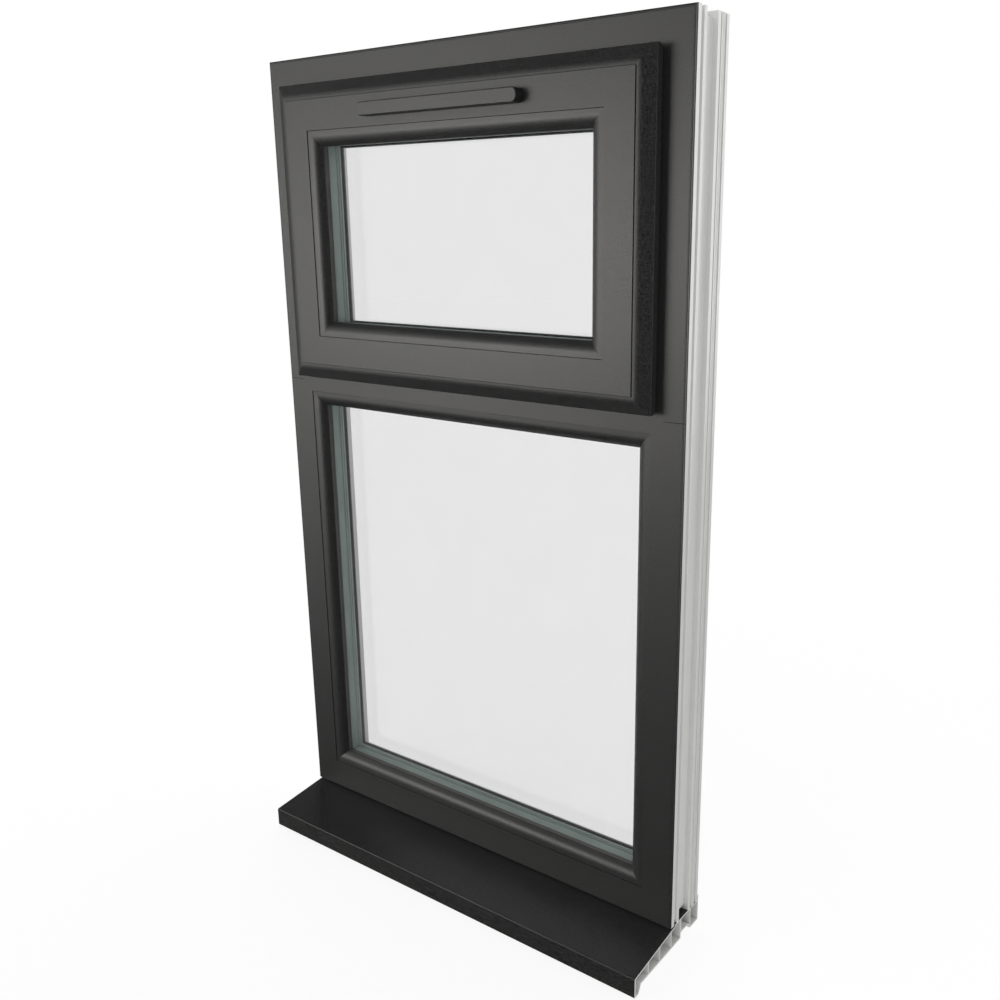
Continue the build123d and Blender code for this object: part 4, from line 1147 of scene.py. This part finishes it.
@dataclass
class SealedUnit:
    """Double-glazed unit with its gaskets, spacer and edge seal.

    The spacer stands on a seal of seal_wide, and spacer_grooves lie between two depths each, with sides
    that run over groove_slope. The gaskets reach to the sight line, less sight_clear.
    """

    prefix: str
    cell: Cell
    step: float
    front: float
    body: str
    seal_wide: float = 4.0
    spacer_high: float = 8.0
    spacer_low: float = 5.5
    spacer_grooves: tuple[Pair, ...] = ((11.6, 14.2), (15.2, 17.8))
    groove_slope: float = 0.4
    sight_clear: float = 0.2
    seat_clear: float = 0.3
    outer_foot: Pair = (5.2, 3.0)
    inner_foot: float = 7.0

    def make(self) -> list[bpy.types.Object]:
        """Build panes, spacer, edge seal and gaskets.

        Returns:
            The panes.
        """
        edge = self.step - SIZES.floor_drop + SIZES.unit_edge
        depths = [self.front + SIZES.unit_front, SIZES.pane, SIZES.cavity, SIZES.pane]
        y0, y1, y2, y3 = np.cumsum(depths)
        panes = []
        for name, near, far in (("outer_pane", y0, y1), ("inner_pane", y2, y3)):
            build = Build()
            pane(build, self.cell, edge, near, far)
            panes.append(self._done(build, name, Slot.GLASS))
        inner = edge + self.seal_wide
        high, low, slope = inner + self.spacer_high, inner + self.spacer_low, self.groove_slope
        spacer = [(inner, y1), (high, y1)]
        for near, far in self.spacer_grooves:
            spacer += [(high, y1 + near), (low, y1 + near + slope), (low, y1 + far - slope), (high, y1 + far)]
        self._ring("spacer", spacer + [(high, y2), (inner, y2)], Slot.SPACER, 0.2)
        self._ring("edge_seal", ((edge, y1), (inner, y1), (inner, y2), (edge, y2)), Slot.SEALANT, 0.8)
        seat = self.step + SIZES.bead_seat + self.seat_clear
        sight = self.step + SIZES.sight - self.sight_clear
        back, leg = self.front + SIZES.bead_back, self.front + SIZES.leg
        wide, thick = self.outer_foot
        foot, heel = sight - wide, sight - self.inner_foot
        self._ring("outer_gasket", (
            (seat, back), (sight, back), (sight, y0), (foot, y0), (foot, y0 - thick), (seat, y0 - thick)),
            Slot.GASKET, 0.9)
        self._ring("inner_gasket", ((heel, y3), (sight, y3), (sight, leg), (heel, leg)), Slot.GASKET, 0.5)
        return panes

    def _ring(self, name: str, corners: Sequence[Pair], slot: Slot, ease: float) -> None:
        """Add one ring with an eased section.

        Args:
            name: Last part of the piece's name.
            corners: Corners of the section.
            slot: The record's material slot.
            ease: How far each corner is eased.
        """
        section = Section().path(PLAIN, *((*corner, ease) for corner in corners))
        build = Build()
        self.cell.ring(build, section.eased(5)[0])
        self._done(build, name, slot)

    def _done(self, build: Build, name: str, slot: Slot) -> bpy.types.Object:
        """Finish one piece of the unit on its body, in place of its CAD node, and return it."""
        return finish_piece(build, f"{self.prefix}_{name}", self.body, slot, 40.0)


@dataclass
class Sash:
    """Opening sash with its lip over the frame."""

    lip_edge: float = 0.8
    lip_step: Pair = (0.7, 5.0)
    quirk: Pair = (0.6, 0.6)
    stay_groove: Groove = (3.0, 35.0, 19.0, (0.3, 0.3, 0.3))
    chambers: tuple[Chamber, ...] = ((22.4, 47.7, -20.2, -9.6), (25.8, 51.7, -7.6, 16.6))
    lip_chamber: tuple[Pair, ...] = (
        (4.0, -11.4), (15.6, -17.2), (19.6, -17.6), (19.6, -7.4), (4.0, -7.4))

    def section(self) -> Section:
        """Section of the sash, foiled on everything that faces the weather.

        Returns:
            The section.
        """
        face, back, side = -SIZES.sash_proud, SIZES.sash_back, SIZES.sash_side
        mould = LIP_MOULD.points()
        curve = np.column_stack([LIP_WIDTH - mould[:, 0], face + SIZES.step + mould[:, 1]])[::-1]
        front, start = curve[0][1], curve[-1][1]
        behind = front + SIZES.lip_thick
        (deep, wide), (cut, sink) = self.lip_step, self.quirk
        section = Section().path(
            FOILED, (deep, behind, 0.3), (deep, front + wide, 0.2), (0.0, front + wide - deep, 0.3),
            (0.0, front, self.lip_edge))
        section.curve(curve[1:-1]).path(
            FOILED, (LIP_WIDTH - cut, start, 0.1), (LIP_WIDTH - 0.7 * cut, start + sink, 0.0),
            (LIP_WIDTH - 0.2 * cut, start + sink, 0.0), (LIP_WIDTH, face, 0.25))
        rebate_side(section, SASH_STEP, face, back).add(side, back, 0.3, PLAIN)
        section.groove(side, *self.stay_groove).add(side, behind, 0.3)
        section.boxes(self.chambers[:1]).hole(*self.lip_chamber).boxes(self.chambers[1:])
        return leg_hole(section, SASH_STEP, face)

    def make(self) -> None:
        """Build the four bars."""
        nodes = {"bottom": "sash_bottom_rail", "top": "sash_top_rail", "left": "sash_stile_left",
                 "right": "sash_stile_right"}
        mitred_bars(SASH_CELL, self.section(), nodes, "sash")


@dataclass
class Canopy:
    """Rain hood of the trickle vent."""

    length: float = 234.0
    height: float = 15.0
    depth: float = 12.8
    corner: float = 6.2
    crown: float = 1.1
    corner_least: float = 0.6
    crown_rings: int = 8

    def outline(self, inset: float, steps: int = 9) -> Loop:
        """Rounded rectangle in (x, z), inset from the hood's edge.

        Args:
            inset: How far it lies inside the edge.
            steps: Points per corner.

        Returns:
            The points, anticlockwise.
        """
        radius = max(self.corner - inset, self.corner_least)
        middle = np.array([self.length, self.height]) / 2 - inset - radius
        turn = np.linspace(0, pi / 2, steps)
        quarter = radius * np.column_stack([np.cos(turn), np.sin(turn)])
        return np.concatenate([
            (quarter + middle) * (1, 1), (quarter[::-1] + middle) * (-1, 1), (quarter + middle) * (-1, -1),
            (quarter[::-1] + middle) * (1, -1)])

    def make(self) -> None:
        """Build the hood: rings that climb the side, round the crown and close over the front.

        Ring k lies at inset crown (1 - sin a) and depth crown (1 - cos a) behind the front, for a
        from a right angle to 0, which is a quarter round.
        """
        mid = SASH_CELL.high - LIP_WIDTH - SIZES.sash_flat / 2
        back = -SIZES.sash_proud
        turn = np.linspace(pi / 2, 0, self.crown_rings)
        insets = np.append(0.0, self.crown * (1 - np.sin(turn)))
        depths = np.append(back, back - self.depth + self.crown * (1 - np.cos(turn)))
        rings = [self.outline(inset) for inset in insets]
        count = len(rings[0])
        x, z = np.concatenate(rings).T
        verts = np.column_stack([x, np.repeat(depths, count), z + mid]) * MM
        fan = tessellate_polygon([[Vector((*point, 0.0)) for point in rings[0].tolist()]])
        cap = anticlockwise(rings[0], np.array(fan))
        build = Build()
        last = count * (len(rings) - 1)
        build.add(verts, (bands(len(rings), count), 0), (cap[:, ::-1], 0), (cap + last, 0))
        finish_piece(build, "trickle_canopy", "sash", Slot.CANOPY, 40.0)


@dataclass
class Hardware:
    """CAD nodes that keep their own shape and only get a finish."""

    frame: dict

    def dress(self) -> None:
        """Give every CAD node the finish of its record slot."""
        slots = {row["node"]: Slot(row["material_slot"]) for row in self.frame["record"]["subparts"]}
        for name, node in self.frame["nodes"].items():
            finish = FINISHES[slots[name]]
            node.data.materials.clear()
            node.data.materials.append(finish.make())
            LOG.info("%s: %s", name, finish.name)


# Studio


@dataclass(frozen=True)
class Panel:
    """Soft rectangular light: where it is, what it faces, its width and height, and its brightness."""

    name: str
    at: Triple
    aim: Triple
    size: Pair
    radiance: float
    on_foil: bool = False
    on_frame: bool = False
    tint: Triple = (1.0, 1.0, 1.0)


WARM = (1.02, 1.0, 0.955)


@dataclass
class Studio:
    """Pale floor lit from within, white room, soft panels and the camera.

    The panels stand level with the window, where its panes would mirror them, and so they spare the
    panes and the floor. Those marked on_foil also light matt surfaces, the others only show in gloss.
    The one marked on_frame only draws the light line round the front corner of the outer frame.
    """

    panes: list[bpy.types.Object]
    bars: list[bpy.types.Object]
    floor_z: float = -0.012
    floor_rings: tuple[float, ...] = (0.5, 1.5, 4.0, 12.0)
    floor_sides: int = 64
    paper: str = "#6E6E6E"
    matt: float = 0.9
    glow: float = 0.856
    room: float = 1.0
    right_dim: float = 0.42
    panels: tuple[Panel, ...] = (
        Panel("strip", (-1.308, -2.117, 0.76), (0.0, 0.0, 0.6), (1.47, 0.8), 8.8, True, tint=WARM),
        Panel("broad", (-1.993, -1.484, 0.872), (0.0, 0.0, 0.6), (3.76, 2.9), 0.75, True),
        Panel("edge_right", (2.48, -0.42, 0.8), (0.0, 0.0, 0.6), (0.5, 1.6), 5.0),
        Panel("arris", (2.25, -1.35, 0.8), (0.305, 0.0, 0.8), (0.5, 1.6), 22.0, on_frame=True),
        Panel("room_left", (-1.8, 2.6, 1.6), (0.0, 0.0, 0.6), (2.0, 2.0), 1.2),
        Panel("room_right", (1.6, 2.25, 1.2), (0.305, 0.0, 0.7), (1.6, 2.0), 2.6),
    )
    camera_at: Triple = (0.79394, -0.90924, 0.83148)
    yaw: float = 34.811
    pitch: float = 14.813
    focal_px: float = 1006.96
    centre_px: Pair = (571.385, 497.585)
    image_px: float = 1000.0
    sensor: float = 36.0

    def camera(self) -> None:
        """Place the camera as the photograph was taken."""
        data = bpy.data.cameras.new("camera")
        data.sensor_width = self.sensor
        data.lens = self.focal_px * self.sensor / self.image_px
        data.shift_x = -(self.centre_px[0] - self.image_px / 2) / self.image_px
        data.shift_y = (self.centre_px[1] - self.image_px / 2) / self.image_px
        data.clip_start = 0.01
        camera = new_object("camera", data)
        camera.location = self.camera_at
        camera.rotation_euler = (radians(90.0 - self.pitch), 0.0, radians(self.yaw))
        bpy.context.scene.camera = camera

    def stage(self) -> bpy.types.Object:
        """Lay a round pale floor: rings of points at radius r and angle a, closed by one point.

        Returns:
            The floor.
        """
        count = self.floor_sides
        turn = np.linspace(0.0, 2 * pi, count, endpoint=False)
        x = np.append(np.outer(self.floor_rings, np.cos(turn)), 0.0)
        y = np.append(np.outer(self.floor_rings, np.sin(turn)), 0.0)
        verts = np.column_stack([x, y, np.full(len(x), self.floor_z)])
        first = np.arange(count)
        fan = np.column_stack([np.full(count, len(verts) - 1), first, (first + 1) % count])
        build = Build()
        build.add(verts, (bands(len(self.floor_rings), count), 0), (fan, 0))
        data = build.mesh("studio_floor")
        material, tree = start_material("studio_paper")
        paper = add_node(tree, "BsdfPrincipled", {
            "Base Color": linear(self.paper), "Roughness": self.matt, "Specular IOR Level": 0.0,
            "Emission Color": (1.0, 1.0, 1.0, 1.0), "Emission Strength": self.glow})
        add_node(tree, "OutputMaterial", {}, {"Surface": paper.outputs["BSDF"]})
        data.materials.append(material)
        floor = new_object("studio_floor", data)
        floor.visible_glossy = False
        return floor

    def panel(self, lamp: Panel, spared: bpy.types.Collection, bars: bpy.types.Collection) -> None:
        """Add one soft rectangular light, which only shows where a surface mirrors it.

        Args:
            lamp: The light.
            spared: Collection of what the panels leave out.
            bars: Collection of what the arris panel lights.
        """
        data = bpy.data.lights.new(lamp.name, "AREA")
        data.shape = "RECTANGLE"
        data.size, data.size_y = lamp.size
        data.energy = lamp.radiance * pi * lamp.size[0] * lamp.size[1]
        data.color = lamp.tint
        piece = new_object(lamp.name, data)
        piece.location = lamp.at
        piece.rotation_euler = (Vector(lamp.aim) - Vector(lamp.at)).to_track_quat("-Z", "Y").to_euler()
        piece.visible_camera = False
        piece.visible_transmission = False
        piece.visible_diffuse = lamp.on_foil
        piece.light_linking.receiver_collection = bars if lamp.on_frame else spared

    def light(self, floor: bpy.types.Object) -> None:
        """White room for soft light, hidden from gloss, and the panels that gloss shows instead.

        As light the room is a little dimmer towards its right wall: 1 - right_dim x, for x above 0.

        Args:
            floor: The studio's floor, which the panels spare.
        """
        spared = bpy.data.collections.new("spared_by_panels")
        for piece in (floor, *self.panes):
            spared.objects.link(piece)
        for member in spared.collection_objects:
            member.light_linking.link_state = "EXCLUDE"
        bars = bpy.data.collections.new("lit_by_arris")
        for piece in self.bars:
            bars.objects.link(piece)
        world = bpy.data.worlds.new("studio")
        world.use_nodes = True
        tree = world.node_tree
        place = add_node(tree, "TexCoord").outputs["Generated"]
        way = add_node(tree, "SeparateXYZ", {}, {0: place})
        dim = add_node(
            tree, "MapRange", {"To Min": 0.0, "To Max": self.right_dim}, {"Value": way.outputs["X"]})
        path = add_node(tree, "LightPath")
        loss = add_node(
            tree, "Math", {"operation": "MULTIPLY"},
            {0: dim.outputs["Result"], 1: path.outputs["Is Diffuse Ray"]})
        power = add_node(tree, "Math", {"operation": "SUBTRACT", 0: self.room}, {1: loss.outputs["Value"]})
        tree.nodes["Background"].inputs["Color"].default_value = (1.0, 1.0, 1.0, 1.0)
        tree.links.new(power.outputs["Value"], tree.nodes["Background"].inputs["Strength"])
        world.cycles_visibility.glossy = False
        bpy.context.scene.world = world
        for lamp in self.panels:
            self.panel(lamp, spared, bars)

    def make(self) -> None:
        """Build the whole studio."""
        scene = bpy.context.scene
        scene.view_settings.view_transform = "Standard"
        self.camera()
        self.light(self.stage())


def main() -> None:
    """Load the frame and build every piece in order."""
    logging.basicConfig(level=logging.INFO, format="%(name)s: %(message)s")
    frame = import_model()
    Hardware(frame).dress()
    bars = OuterFrame().make()
    Transom().make()
    Cill().make()
    Sash().make()
    Beads("fixed", LOW_CELL, SIZES.face, 0.0, "frame").make()
    Beads("vent", SASH_CELL, SASH_STEP, -SIZES.sash_proud, "sash").make()
    panes = SealedUnit("fixed", LOW_CELL, SIZES.face, 0.0, "frame").make()
    panes += SealedUnit("vent", SASH_CELL, SASH_STEP, -SIZES.sash_proud, "sash").make()
    Canopy().make()
    Studio(panes, bars).make()
    bpy.context.view_layer.update()


if __name__ == "__main__":
    main()
